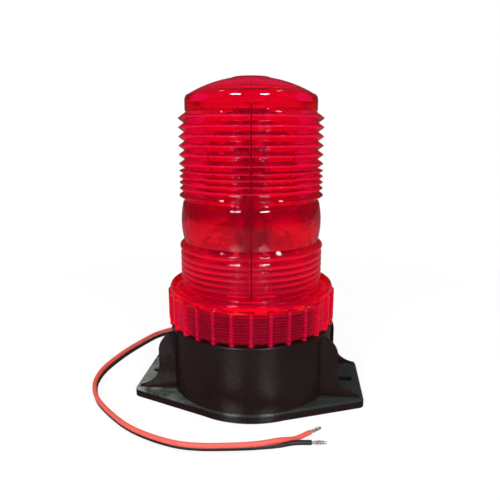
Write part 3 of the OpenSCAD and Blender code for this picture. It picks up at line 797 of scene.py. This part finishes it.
class WARNING_LIGHT_OT_stage(bpy.types.Operator):
    """Makes the camera, the lamps, the white world and the floor"""

    bl_idname = "warning_light.make_stage"
    bl_label = "Stage"

    def execute(self, context):
        scene = context.scene
        camera = bpy.data.objects.new("camera", bpy.data.cameras.new("camera"))
        camera.location = CAMERA_PLACE
        camera.rotation_euler = (math.radians(CAMERA_TILT), 0.0, math.radians(CAMERA_TURN))
        camera.data.sensor_width = 36.0
        camera.data.lens = CAMERA_LENS
        camera.data.shift_x = CAMERA_SHIFT
        camera.data.clip_start = 0.01
        scene.collection.objects.link(camera)
        scene.camera = camera

        away = 0.75
        for side, turn in (("left", -26.0), ("right", 22.0)):
            azimuth = CAMERA_AZIMUTH + math.radians(turn)
            place = (away * math.cos(azimuth), away * math.sin(azimuth), 0.44)
            self.area_lamp(side, place, width=0.22, height=0.11, power=3.2, target=(0, 0, 0.11))
        for side, x in (("top_left", -0.42), ("top_right", 0.42)):
            self.area_lamp(side, (x, 0.06, 1.0), width=0.16, height=0.06, power=0.6, target=(0, 0, 0.05))
        soft = self.area_lamp("soft", (0, -0.1, 1.0), width=0.5, height=0.5, power=3.7)
        soft.visible_glossy = False

        world = bpy.data.worlds.new("white_room")
        world.use_nodes = True
        net = Net(world.node_tree)
        net.tree.nodes.clear()
        y = net.axes(net.add("ShaderNodeTexCoord", output="Object"))[1]
        plain = net.white("Background", 0.4)
        mirrored = net.white("Background", 0.014 + 0.02 * y.ramp(0.0, 0.6))
        unseen = net.mix_shaders(net.rays("Glossy"), plain, mirrored)
        surface = net.mix_shaders(self.seen_white(net), unseen, net.white("Background", 1.0))
        net.add("ShaderNodeOutputWorld", {"Surface": surface})
        scene.world = world
        scene.view_settings.view_transform = "Standard"
        scene.cycles.max_bounces = 32
        scene.cycles.transmission_bounces = 32
        scene.cycles.glossy_bounces = 12

        reach, low = 1.6, -0.02 * MM
        corners = [(x * reach, y * reach, low) for x, y in ((-1, -1), (1, -1), (1, 1), (-1, 1))]
        floor = new_object("floor", (corners, [(0, 1, 2, 3)]), self.floor_finish(), 35, closed=False)
        return {"FINISHED"}

    @staticmethod
    def seen_white(net):
        """One for the rays that see the white backdrop: from the camera or through clear plastic."""
        return net.rays("Camera").highest(net.rays("Transmission"))

    @staticmethod
    def area_lamp(name, place, width, height, power, target=None):
        """Lamp that looks at its target, or straight down."""
        data = bpy.data.lights.new("lamp_" + name, "AREA")
        data.shape = "RECTANGLE"
        data.size = width
        data.size_y = height
        data.energy = power
        lamp = bpy.data.objects.new("lamp_" + name, data)
        bpy.context.scene.collection.objects.link(lamp)
        lamp.location = place
        if target:
            lamp.rotation_euler = (Vector(target) - lamp.location).to_track_quat("-Z", "Y").to_euler()
        return lamp

    def floor_finish(self):
        """Pale floor that keeps shadows, and that the camera sees as the white of the backdrop."""
        net = Finish("floor_white")
        shade = colours().floor_white
        x, y, _ = net.axes(net.at)
        out = from_axis(x, y)
        tint = net.mix(net.noise(400, 2), shade, paler(shade, 0.2))
        plain = net.add("ShaderNodeBsdfDiffuse", {"Color": tint})
        share = self.seen_white(net) * (0.8 + 0.2 * out.ramp(0.12, 0.4))
        seen = net.mix_shaders(share, plain, net.white("Emission", 1.0))
        dim = net.white("Emission", 0.014 + 0.055 * y.ramp(0.0, 0.3))
        lit = net.mix(1.0 - out.ramp(0.15, 0.22), (0.02, 0.02, 0.02), (0.18, 0.18, 0.18))
        sheen = net.add("ShaderNodeBsdfAnisotropic", {"Color": lit, "Roughness": 0.28})
        mirrored = net.add("ShaderNodeAddShader", {0: dim, 1: sheen})
        return net.done(net.mix_shaders(net.rays("Glossy") * 0.9, seen, mirrored))


# The pair of leads as it lies: x, y, height above its rest and roll, in mm and degrees
LEAD_ROUTE = [
    (0, 47, 17.3, 0), (0, 53, 17.3, 0), (0, 60.5, 15.5, 0), (-0.5, 66, 11.5, 5), (-1.5, 71, 7, 12),
    (-3, 76.5, 4.2, 20), (-6, 84, 1, 32), (-11, 89.5, 0, 44), (-19, 93, 0, 54),
    (-29.5, 93.5, 0, 60), (-39.5, 90, 0, 64), (-49.5, 83, 0, 67), (-58.5, 75.5, 0, 67),
    (-66.5, 69.5, 0, 67), (-72, 64, 0, 67), (-77, 57.5, 0, 67), (-82.5, 44.5, 0, 67),
    (-87.5, 30, 0, 68), (-91, 15.5, 0, 70), (-93, 1.5, 0, 74), (-92.5, -10, 0, 78),
    (-90.5, -19, 0, 80), (-86.5, -28, 0, 78), (-81, -36.5, 0, 75), (-74.5, -43.5, 0, 72),
    (-67, -50.5, 0, 70), (-59, -57, 0, 67), (-50, -62.5, 0, 66), (-38.5, -67.5, 0, 66),
    (-27.5, -70.5, 0, 66), (-17, -71, 0, 66), (-7, -70, 0, 67), (3.5, -68.5, 0, 70),
    (12.5, -66.5, 0, 80), (20, -64, 0, 105),
]
LEAD_ENDS = {"red": [(28, -58), (35, -52)], "black": [(27.5, -61.5), (35.5, -60.5)]}
# Distance between the middles of the pair
LEAD_PITCH = 2.46 * MM


def lead_path(side, tail, radius):
    """The points of one lead of the pair, in metres; side is -1 or 1 across the heading."""
    points = []
    count = len(LEAD_ROUTE)
    for i, (x, y, lift, roll) in enumerate(LEAD_ROUTE):
        x0, y0 = LEAD_ROUTE[max(i - 1, 0)][:2]
        x1, y1 = LEAD_ROUTE[min(i + 1, count - 1)][:2]
        run = math.hypot(x1 - x0, y1 - y0)
        left = ((y0 - y1) / run, (x1 - x0) / run)
        angle = math.radians(roll)
        across = side * LEAD_PITCH / 2 * math.cos(angle)
        rise = LEAD_PITCH / 2 * math.sin(angle)
        height = lift * MM + radius + abs(rise) - side * rise
        points.append((x * MM + left[0] * across, y * MM + left[1] * across, height))
    points.extend((x * MM, y * MM, radius) for x, y in tail)
    return points


class WARNING_LIGHT_OT_leads(bpy.types.Operator):
    """Makes the two leads with their bare ends, and dresses the bush that holds them"""

    bl_idname = "warning_light.make_leads"
    bl_label = "Leads"

    def execute(self, context):
        size, shade = sizes(), colours()
        radius = size.lead_diameter / 2
        dress("cable_grommet", soft_rubber("bush_rubber", shade.rubber_black))
        routes = {}
        for name, side in (("red", -1), ("black", 1)):
            routes[name] = smooth_path(lead_path(side, LEAD_ENDS[name], radius), 4)
        for name, other, tint in (("red", "black", shade.lead_red), ("black", "red", shade.lead_black)):
            path = [Vector((p.x, p.y, max(p.z, radius))) for p in routes[name]]
            tube, around = swept(path, radius, 20, facing=routes[other])
            finish = insulation("lead_" + name, tint, shade.lead_red)
            lead = new_object("lead_" + name + "_insulation", tube, finish, 50)
            layer = lead.data.uv_layers.new(name="along")
            for face in lead.data.polygons:
                last = any(around[i][0] > 0.9 for i in face.vertices)
                for loop in face.loop_indices:
                    u, v = around[lead.data.loops[loop].vertex_index]
                    layer.data[loop].uv = (u + 1.0 if last and u == 0.0 else u, v)
            strands = self.strands(name, path)
            mount_on(lead, "base", "lead_" + name + "_pvc", "lead_" + name)
        return {"FINISHED"}

    @staticmethod
    def run(path):
        return sum((path[i + 1] - path[i]).length for i in range(len(path) - 1))

    @staticmethod
    def strands(name, path):
        """Seven bare wires twisted together at a lead's end."""
        size = sizes()
        end = path[-1]
        ahead = (path[-1] - path[-2]).normalized()
        left = Vector((-ahead.y, ahead.x, 0))
        wire = size.strand_diameter / 2
        parts, wires, steps = [], 7, 24
        for k in range(wires):
            line = []
            for j in range(steps + 1):
                t = j / steps
                loose = (0.9 if k % 2 else 0.25) * math.sin(math.pi * t) ** 2 + 0.3 * t * (k % 3 == 1)
                ring = 0.0 if k == 0 else 1.02 * size.strand_diameter * (1 + loose)
                angle = TURN * (k / (wires - 1) + 1.15 * t)
                along = ahead * (size.strand_length * (t - 0.06) - (0.25 * MM) * (k % 3) * t)
                side = left * (ring * math.cos(angle)) + Vector((0, 0, ring * math.sin(angle)))
                place = end + along + side
                line.append(Vector((place.x, place.y, max(place.z, wire))))
            parts.append(swept(line, wire, 8, lambda t: 1.0 - 0.35 * max(0.0, t - 0.97) / 0.03)[0])
        tinned = plated_metal("tinned_" + name, (0.86, 0.82, 0.76), 0.2)
        bare = merged("strands_" + name + "_wires", parts, tinned, 50)
        return mount_on(bare, "base", "tinned_strands", "strands_" + name)


def lens_section():
    """Section of the lens as (radius, height), and the heights of its lugs and of its lowest rib's foot."""
    # Drawn in millimetres as (radius, height, easing)
    ease = sizes().rib_easing / MM
    band = BAND_R / MM
    top = LENS_TOP / MM
    flange_top, flange, spigot = FLANGE_TOP / MM, FLANGE_Z / MM, SPIGOT_Z / MM
    coarse, fine, low = 4.75, 3.15, 3.25
    wall, bead_round, cap_round = 2.4, 1.9, 1.5
    tip = band - 0.4
    groove = tip - 3.2
    cap = groove - 0.7
    crown = 66.0
    disc = 10.3
    centre = top - 0.4 - math.sqrt(crown**2 - disc**2)
    rim = centre + math.sqrt(crown**2 - (cap - cap_round) ** 2)
    foot = rim - 8.6
    coarse_top = foot - 3.3
    coarse_foot = coarse_top - 5.5 * coarse
    fine_top = coarse_foot - 0.4 * fine
    big = coarse_foot - 4 * fine - 1.9
    low_foot = flange_top + 4.4
    low_top = low_foot + 6 * low
    bead = band + 0.2
    bead_z = low_top + 2.7
    barrel_top, barrel_foot = big - 3.7, bead_z + 3.0

    def crown_arc(radius, start, end, steps):
        for i in range(steps + 1):
            a = start + (end - start) * i / steps
            yield (radius * math.cos(a), centre + radius * math.sin(a), 0)

    outer = [(0, top, 0), (0.4 * disc, top, 0), (disc - 0.1, top, 0.15), (disc + 0.3, top - 0.4, 0.2)]
    outer += crown_arc(crown, math.acos((disc + 0.6) / crown), math.acos((cap - cap_round) / crown), 12)
    for t in range(15, 91, 15):
        a = math.radians(t)
        outer.append((cap - cap_round * (1 - math.sin(a)), rim - 3.0 * (1 - math.cos(a)), 0))
    outer += [(cap, foot + 0.6, 0.3), (cap - 0.6, foot, 0.3)]
    for i in range(6):
        outer += [(tip, coarse_top - i * coarse, ease), (groove, coarse_top - (i + 0.5) * coarse, 0.7 * ease)]
    for i in range(4):
        outer += [(tip, fine_top - i * fine, ease), (groove + 0.9, fine_top - (i + 0.5) * fine, 0.7 * ease)]
    outer += [(tip + 0.4, big, 1.3 * ease), (groove, big - 2.5, ease)]
    for i in range(15):
        t = i / 14
        bulge = math.sin(math.pi * (0.12 + 0.76 * t))
        height = barrel_top - t * (barrel_top - barrel_foot)
        outer.append((groove + 0.6 + (tip - groove - 1.2) * bulge, height, 0))
    outer.append((bead - bead_round, bead_z + 2.5, 0.3))
    for i in range(9):
        a = math.radians(60 - 15 * i)
        outer.append((bead - bead_round + bead_round * math.cos(a), bead_z + bead_round * math.sin(a), 0))
    for i in range(6):
        step = low_top - i * low
        outer.append((band - 0.5, step, 0.2))
        outer += [(band - 0.1, step - share * low, 0.3) for share in (0.35, 0.65)]
    lug = LIP_TOP / MM + 0.15
    outer += [(band - 0.5, low_foot, 0.2), (band, low_foot - 0.6, 0.2)]
    outer += [(band, lug + rise, 0) for rise in (1.2, 0.4, 0, -0.02)]
    outer += [
        (band, flange_top, 0.2), (band + 3.2, flange_top, 0.3), (band + 3.2, flange, 0.3),
        (band - 0.8, flange, 0.2), (band - 0.8, spigot, 0.3),
    ]
    bore = band - 0.8 - wall
    inner = [(bore, spigot, 0.3), (bore, low_foot, 2.0), (groove - wall, coarse_foot, 2.0)]
    inner += [(groove - wall, foot, 1.5), (cap - wall - cap_round, rim - 3.0, 1.5)]
    start = math.acos((cap - wall - 2 * cap_round) / (crown - wall))
    inner += crown_arc(crown - wall, start, math.pi / 2, 8)
    inner[-1] = (0, inner[-1][1], 0)
    return smooth_outline(in_metres(outer + inner), 4), lug * MM, low_foot * MM


class WARNING_LIGHT_OT_lens(bpy.types.Operator):
    """Makes the red lens with its ribs, parting ridge, flange and snap lugs"""

    bl_idname = "warning_light.make_lens"
    bl_label = "Lens"

    def execute(self, context):
        size = sizes()
        outline, lug_z, foot_z = lens_section()
        seams = [FACING, FACING + math.pi]
        lugs = [FACING + math.pi / 2 * (i + 0.5) for i in range(4)]
        half_seam = size.parting_width / 2 / BAND_R
        half_lug = 3 * MM / BAND_R
        lug_height = 0.45 * MM
        crown_disc = 12 * MM
        angles = set(evenly(192, FACING))
        for seam in seams:
            angles.update(seam + half_seam * k / 2 for k in range(-2, 3))
        for lug in lugs:
            angles.update(lug + sign * half_lug * k for sign in (-1, 1) for k in (1.0, 1.02))
        lowest = max(i for i, (r, z) in enumerate(outline) if z < SPIGOT_Z + 0.01 * MM)
        outer_points = set(outline[:lowest])

        def shape(a, r, z):
            """Raises the parting ridges and the lugs on the outer face."""
            if (r, z) not in outer_points or r < crown_disc:
                return r, z
            for seam in seams:
                off = abs(math.remainder(a - seam, TURN))
                if off < half_seam and z > foot_z:
                    r += size.parting_height * math.cos(off / half_seam * math.pi / 2)
            if lug_z - 1e-7 <= z <= lug_z + lug_height:
                for lug in lugs:
                    if abs(math.remainder(a - lug, TURN)) < 1.01 * half_lug:
                        r = BAND_R + 1.1 * MM
            return r, z

        # Where the bead, the barrel and the upper ribs begin
        bead_z, barrel_z, ribs_z = (foot_z + rise * MM for rise in (19.5, 24, 51))

        def haze_and_painted_light(net, x, y, z):
            """Painted glow on the lower ribs, the rib tips and the bead, as of gathered light, and painted
            shade on the parting line.
            """
            tips = from_axis(x, y).ramp(BAND_R - 1.5 * MM, BAND_R - 0.6 * MM) * (z > ribs_z)
            bead = (z > bead_z) * (z < barrel_z)
            # The parting line is painted with shade
            seam = (off_seam(x, y) < 0.33 * MM) * (z > foot_z) * (z < LENS_TOP - 16 * MM)
            # Painted glow on the lower ribs, the rib tips and the bead
            share = (0.10 * (z < bead_z)).highest(0.3 * tips).highest(0.09 * bead).highest(0.75 * seam)
            return share, net.mix(seam, net.mix(tips, HAZE_AND_GLOW_RED, TIP_GLOW_RED), PAINTED_SHADE_RED)

        smooth = ((barrel_z, ribs_z), (LENS_TOP - 22 * MM, LENS_TOP + 1 * MM))
        finish = clear_red_plastic("red_lens", colours().lens_red, 0.8, haze_and_painted_light, smooth)
        lens = new_object("lens_shell", turned(outline, sorted(a % TURN for a in angles), shape), finish, 40)
        mount_on(lens, "lens", "red_lens", "lens")
        return {"FINISHED"}


class WARNING_LIGHT_OT_collar(bpy.types.Operator):
    """Makes the red collar with its grip ribs and inner thread"""

    bl_idname = "warning_light.make_collar"
    bl_label = "Collar"

    def execute(self, context):
        size = sizes()
        bore = FLANGE_R + 0.5 * MM
        lip = BAND_R + 0.6 * MM
        rim = COLLAR_R - 1.6 * MM
        rib = 1.65 * MM
        circle = RIB_OUT_R - rib
        grip_top = RIM_Z - 4.6 * MM
        shoulder = grip_top + 0.8 * MM
        outline = [(bore, SKIRT_Z, 0.0), (COLLAR_R, SKIRT_Z, 0.15 * MM)]
        outline += [(COLLAR_R, SKIRT_Z + rise * MM, 0) for rise in (0.4, 5, 10)]
        outline += [(COLLAR_R, grip_top - 0.1 * MM, 0), (COLLAR_R, grip_top + 0.35 * MM, 0)]
        for i in range(14):
            a = math.pi / 2 * i / 14
            height = shoulder + (RIM_Z - shoulder) * math.sin(a)
            outline.append((rim + (COLLAR_R - rim) * math.cos(a), height, 0))
        outline += [
            (rim, RIM_Z, 0.1 * MM), (rim - 0.8 * MM, RIM_Z, 0.25 * MM), (rim - 1.1 * MM, LIP_TOP, 0.3 * MM),
            (lip, LIP_TOP, 0.3 * MM), (lip, LIP_Z, 0.2 * MM), (bore, LIP_Z, 0.15 * MM),
        ]
        rows = 92
        for i in range(1, rows):
            outline.append((bore, LIP_Z + (SKIRT_Z - LIP_Z) * i / rows, 0))
        half = TURN / size.grip_ribs / 2
        meet = math.acos((circle**2 + COLLAR_R**2 - rib**2) / (2 * circle * COLLAR_R))
        steps = [-1.0, -0.72, -0.45] + [k * 0.98 * meet / half / 5 for k in range(-5, 6)] + [0.45, 0.72]
        angles = [FACING + half * (2 * i + s) for i in range(size.grip_ribs) for s in steps]

        def shape(a, r, z):
            """Raises the grip ribs, with round upper ends, on the outer face."""
            inner = r < lip + 1 * MM or r < rim - 0.5 * MM or (r < bore + 0.1 * MM and z < LIP_Z)
            if inner or z > grip_top + rib:
                return r, z
            off = math.remainder(a - FACING, 2 * half)
            ball = math.sqrt(max(0.0, rib**2 - max(0.0, z - grip_top) ** 2))
            inside = ball**2 - (circle * math.sin(off)) ** 2
            if inside <= 0:
                return r, z
            return max(r, circle * math.cos(off) + math.sqrt(inside)), z

        row_pitch = 1.6 * MM

        def haze_and_painted_light(net, x, y, z):
            """Painted glow on the rim and the grip ribs, some haze on the wall, painted shade in rows on the
            wall fading towards its sides, and a broken painted orange glint at the ribs' upper ends.
            """
            ribs = from_axis(x, y).ramp(COLLAR_R + 0.6 * MM, COLLAR_R + 1.05 * MM)
            dots = 0.6 + 0.4 * net.noise(1.0, 1, at=net.stretched(800.0, 800.0, 40.0)).ramp(0.42, 0.58)
            rows = (z * (TURN / row_pitch)).sine().ramp(0.4, 1.0) * dots
            wall = (z < grip_top) * (1.0 - ribs)
            # Painted shade in rows on the wall, fading towards its sides
            painted_shade = wall * (1.0 - rows) * (1.0 - off_seam(x, y).ramp(0.6 * COLLAR_R, 0.85 * COLLAR_R))
            # A painted orange glint, broken, along the grip ribs' upper ends
            edge = (z > grip_top - 0.2 * MM) * (z < grip_top + 0.7 * MM)
            broken_glint = edge * net.noise(140, 1).ramp(0.42, 0.62)
            # Painted glow on the rim and the grip ribs, and some haze on the wall
            share = (0.10 * (z > grip_top + 1.5 * MM)).highest(0.26 * ribs).highest(0.22 * wall)
            share = share.highest(0.36 * painted_shade).highest(0.25 * broken_glint)
            return share, net.mix(broken_glint, net.mix(painted_shade, HAZE_AND_GLOW_RED, PAINTED_SHADE_RED), PAINTED_GLINT_ORANGE)

        finish = clear_red_plastic("red_collar", colours().collar_red, 0.2, haze_and_painted_light)
        collar = new_object("collar_ring", turned(smooth_outline(outline, 2), angles, shape), finish, 40)
        threaded(
            collar, finish, 40, bore, 0.2 * MM, pitch=size.thread_pitch, depth=size.thread_depth, low=0.0,
            high=LIP_Z - 0.4 * MM
        )
        mount_on(collar, "collar", "red_collar", "collar")
        low, foot = SKIRT_Z - 0.01 * MM, SKIRT_Z - 1.2 * MM
        pegs = smooth_outline([(0, low, 0), (rib, low, 0), (rib, foot, 0.15 * MM), (0, foot, 0)], 2)
        verts, faces = turned(pegs, evenly(16))
        peg = new_object("collar_rib_feet", ([(x + circle, y, z) for x, y, z in verts], faces), finish, 40)
        ring_of(peg, finish, size.grip_ribs, first=FACING)
        mount_on(peg, "collar", "red_collar")
        return {"FINISHED"}


class WARNING_LIGHT_OT_housing(bpy.types.Operator):
    """Dresses the housing, adds the thread on its neck, and finishes the cover and the seal"""

    bl_idname = "warning_light.make_housing"
    bl_label = "Housing"

    def execute(self, context):
        size, shade = sizes(), colours()
        foot_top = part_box("base_housing")[0].z + 5.2 * MM
        # The foot plate's top takes a coat and a painted reflection
        black = moulded_plastic(
            "housing_black", shade.housing_black, shade.housing_roughness, specular=0.24, polish_and_painted_reflection=foot_top
        )
        shell = smooth_copy("base_housing", "housing_shell", black, size.edge_easing)
        mount_on(shell, "base", "black_shell", "base_housing")
        rows = 84
        low, high = SHOULDER_Z + 0.4 * MM, NECK_TOP - 0.1 * MM
        outline = [(NECK_R, low + (high - low) * i / rows) for i in range(rows + 1)]
        outline += [(NECK_R - 0.3 * MM, high), (NECK_R - 0.3 * MM, low)]
        thread = new_object("neck_thread", turned(outline, evenly(240, FACING)), black, 50)
        threaded(
            thread, black, 50, NECK_R, 0.1 * MM, pitch=size.thread_pitch, depth=size.thread_depth,
            low=low + 0.6 * MM, high=high - 0.3 * MM
        )
        mount_on(thread, "base", "black_shell")
        dress("bottom_cover", moulded_plastic("cover_black", shade.housing_black, 0.5, 0.25))
        dress("lens_gasket", soft_rubber("seal_rubber", shade.rubber_black))
        return {"FINISHED"}


class WARNING_LIGHT_OT_screws(bpy.types.Operator):
    """Makes the screws of the cover, the board, the tower, the crown board and the terminals"""

    bl_idname = "warning_light.make_screws"
    bl_label = "Screws"

    def execute(self, context):
        steel = plated_metal("zinc_steel", (0.72, 0.74, 0.76), 0.25)
        shank = SCREW_R - THREAD_CREST
        for node, ending, wide, tall, count, first, facing in (
            ("cover_screws", "_sunk", 2.9, 1.6, 4, 45, -1),
            ("board_screws", "_pan", 2.9, 2.175, 3, 30, -1),
            ("tower_screws", "_pan", 2.5, 2.175, 2, 0, 1),
            ("crown_screw", "_pan", 2.5, 2.175, 1, 0, 1),
        ):
            first = math.radians(first)
            place = 0.0 if count == 1 else (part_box(node)[1].x - wide * MM) / math.cos(first)
            head = [(wide, 0.0)]
            if ending == "_pan":
                head = [(0.8 * wide, 0.0), (0.95 * wide, -0.45), (wide, -1.2), (wide, -tall)]
            head = in_metres(head) + [(SCREW_R, -tall * MM)]
            screws = fastener(node, node + ending, head, shank, place, count, first, steel, facing)
            mount_on(screws, "base", "screw_steel", node)
        node = "terminal_screws"
        low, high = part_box(node)
        wide = 1.9 * MM
        x, y = high.x - wide, high.y - wide
        head = [(wide, 0.0), (wide, low.z - high.z)]
        for side, name, nodes in ((-1, "terminal_screw_left", []), (1, "terminal_screw_right", [node])):
            turn = math.atan2(y, side * x)
            screw = fastener(node, name, head, 0.0, math.hypot(x, y), 1, turn, steel, -1, slotted=True)
            mount_on(screw, "base", "screw_steel", *nodes)
        return {"FINISHED"}


class WARNING_LIGHT_OT_lamps(bpy.types.Operator):
    """Makes the square lamps of the strips and of the crown board"""

    bl_idname = "warning_light.make_lamps"
    bl_label = "Lamps"

    def execute(self, context):
        white = moulded_plastic("lamp_body", (0.20, 0.20, 0.19), 0.35)
        yellow = phosphor("lamp_yellow", (0.26, 0.18, 0.035))
        body = [(2.4, 0.0), (2.5, 0.15), (2.5, 1.3), (2.3, 1.5), (2.05, 1.5), (1.85, 1.15)]
        window = [(0.0, 1.6), (0.7, 1.58), (1.3, 1.48), (1.75, 1.3), (1.75, 1.1), (0.0, 1.1)]
        low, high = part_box("led_boards")
        on_strip = 8
        pitch = (high.z - low.z) / on_strip
        strip_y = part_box("tower_core")[1].y + 1.2 * MM
        for node, out, height, tip, count, rows, first in (
            ("leds", strip_y, low.z + pitch / 2, math.pi / 2, 6, on_strip, 0.0),
            ("crown_leds", 6.5 * MM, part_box("crown_leds")[0].z, 0.0, 3, 1, math.radians(30)),
        ):
            move = Matrix.Translation((out, 0, height)) @ Matrix.Rotation(tip, 4, "Y")
            for part, shape, finish, nodes in (
                ("_bodies", stacked(in_metres(body)), white, [node]),
                ("_windows", turned(in_metres(window), evenly(24)), yellow, []),
            ):
                lamp = new_object(node + part, shape, finish, 30)
                lamp.data.transform(move)
                ring_of(lamp, finish, count, rows, pitch, first, 30)
                mount_on(lamp, "base", "lamp_yellow", *nodes)
        return {"FINISHED"}


class WARNING_LIGHT_OT_board_parts(bpy.types.Operator):
    """Makes the choke's winding and the capacitors under the board"""

    bl_idname = "warning_light.make_board_parts"
    bl_label = "Board parts"

    def execute(self, context):
        copper = plated_metal("copper_wire", (0.80, 0.33, 0.16), 0.3)
        low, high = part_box("choke_winding")
        middle = (low + high) / 2
        outer, bore = (high.x - low.x) / 2 - THREAD_CREST, 3.1 * MM
        rows = 96
        outline = [(bore, low.z), (bore, high.z)]
        outline += [(outer, high.z + (low.z - high.z) * i / rows) for i in range(rows + 1)]
        winding = new_object("choke_turns", turned(outline, evenly(72)), copper, 60)
        threaded(
            winding, copper, 60, outer, 0.05 * MM, pitch=0.46 * MM, depth=THREAD_CREST, low=low.z, high=high.z
        )
        winding.data.transform(Matrix.Translation((middle.x, middle.y, 0)))
        mount_on(winding, "base", "copper_wire", "choke_winding")

        sleeves, ends = [], []
        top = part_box("main_board")[0].z
        for x, y, radius, tall in ((-14, 3, 6.25, 16), (-14, -11, 5, 12.5), (13, -12, 4, 11)):
            r, foot = radius * MM, top - tall * MM
            wall = [
                (r - 0.9 * MM, foot + 0.1 * MM, 0), (r - 0.8 * MM, foot, 0.05 * MM),
                (r - 0.3 * MM, foot, 0.2 * MM), (r, foot + 0.4 * MM, 0.2 * MM), (r, top - 2.4 * MM, 0.4 * MM),
                (r - 0.5 * MM, top - 1.8 * MM, 0.4 * MM), (r, top - 1.2 * MM, 0.4 * MM),
                (r, top, 0.05 * MM), (r - 0.9 * MM, top, 0),
            ]
            low, high = foot + 0.12 * MM, foot + 0.7 * MM
            end = [(0, low, 0)] + [(0.9 * r * i / 9, low, 0) for i in range(1, 9)]
            end += [(r - 0.95 * MM, low, 0), (r - 0.95 * MM, high, 0), (0, high, 0)]

            def score(a, out, z, foot=foot):
                """The can's end is scored with a cross so that it can open."""
                near = min(abs(out * math.cos(a)), abs(out * math.sin(a)))
                return out, z + (0.12 * MM if near < 0.2 * MM and z < foot + 0.2 * MM else 0.0)

            for parts, outline, shape in ((sleeves, wall, None), (ends, end, score)):
                verts, faces = turned(smooth_outline(outline, 3), evenly(48), shape)
                parts.append(([(vx + x * MM, vy + y * MM, vz) for vx, vy, vz in verts], faces))
        cans = merged("capacitor_sleeves", sleeves, moulded_plastic("can_blue", (0.02, 0.05, 0.16), 0.35), 40)
        mount_on(cans, "base", "can_blue", "capacitors")
        discs = merged("capacitor_ends", ends, plated_metal("can_end", (0.75, 0.76, 0.78), 0.3), 40)
        mount_on(discs, "base", "can_blue")
        return {"FINISHED"}


class WARNING_LIGHT_OT_inside(bpy.types.Operator):
    """Dresses the lamp tower, the boards and their plainer parts"""

    bl_idname = "warning_light.dress_inside"
    bl_label = "Inside"

    def execute(self, context):
        wires = [(0.45, 0.03, 0.03), (0.015, 0.015, 0.016), (0.70, 0.45, 0.04), (0.75, 0.74, 0.70)]
        strip = circuit_board("board_grey", (0.05, 0.052, 0.05), (0.45, 0.42, 0.36))
        green = circuit_board("board_green", (0.012, 0.10, 0.035), (0.70, 0.66, 0.58))
        finishes = {
            "main_board": green, "led_boards": strip, "crown_board": strip,
            "tower_core": extruded_aluminium("tower_aluminium", (0.78, 0.79, 0.80)),
            "tower_foot": moulded_plastic("tower_white", (0.80, 0.80, 0.77), 0.4),
            "harness_socket": moulded_plastic("socket_white", (0.82, 0.80, 0.74), 0.4),
            "terminal_block": moulded_plastic("block_green", (0.02, 0.22, 0.07), 0.4),
            "choke_core": moulded_plastic("ferrite", (0.05, 0.05, 0.055), 0.55, 0.3),
            "driver_chips": moulded_plastic("chip_black", (0.02, 0.02, 0.022), 0.5, 0.3),
            "tower_wires": banded_plastic("wire_colours", (-2.55 * MM, 0.0, 2.55 * MM), wires),
            "inner_leads": banded_plastic("inner_wire", (0.0,), [colours().lead_black, colours().lead_red]),
        }
        for node, finish in finishes.items():
            dress(node, finish)
        return {"FINISHED"}


class WARNING_LIGHT_PT_panel(bpy.types.Panel):
    """Lists the steps that make the warning light"""

    bl_label = "Warning Light"
    bl_idname = "WARNING_LIGHT_PT_panel"
    bl_space_type = "VIEW_3D"
    bl_region_type = "UI"
    bl_category = "Warning Light"

    def draw(self, context):
        column = self.layout.column(align=True)
        for step in STEPS:
            column.operator(step.bl_idname)
        for group in (context.scene.light_sizes, context.scene.light_colours):
            box = self.layout.box()
            for name in group.__annotations__:
                box.prop(group, name)


STEPS = (
    WARNING_LIGHT_OT_stage,
    WARNING_LIGHT_OT_leads,
    WARNING_LIGHT_OT_lens,
    WARNING_LIGHT_OT_collar,
    WARNING_LIGHT_OT_housing,
    WARNING_LIGHT_OT_screws,
    WARNING_LIGHT_OT_lamps,
    WARNING_LIGHT_OT_board_parts,
    WARNING_LIGHT_OT_inside,
)
CLASSES = (LightSizes, LightColours, *STEPS, WARNING_LIGHT_PT_panel)


def register():
    for cls in CLASSES:
        bpy.utils.register_class(cls)
    bpy.types.Scene.light_sizes = bpy.props.PointerProperty(type=LightSizes)
    bpy.types.Scene.light_colours = bpy.props.PointerProperty(type=LightColours)


def unregister():
    del bpy.types.Scene.light_colours
    del bpy.types.Scene.light_sizes
    for cls in reversed(CLASSES):
        bpy.utils.unregister_class(cls)


def main():
    register()
    for step in STEPS:
        group, name = step.bl_idname.split(".")
        getattr(getattr(bpy.ops, group), name)()


if __name__ == "__main__":
    main()
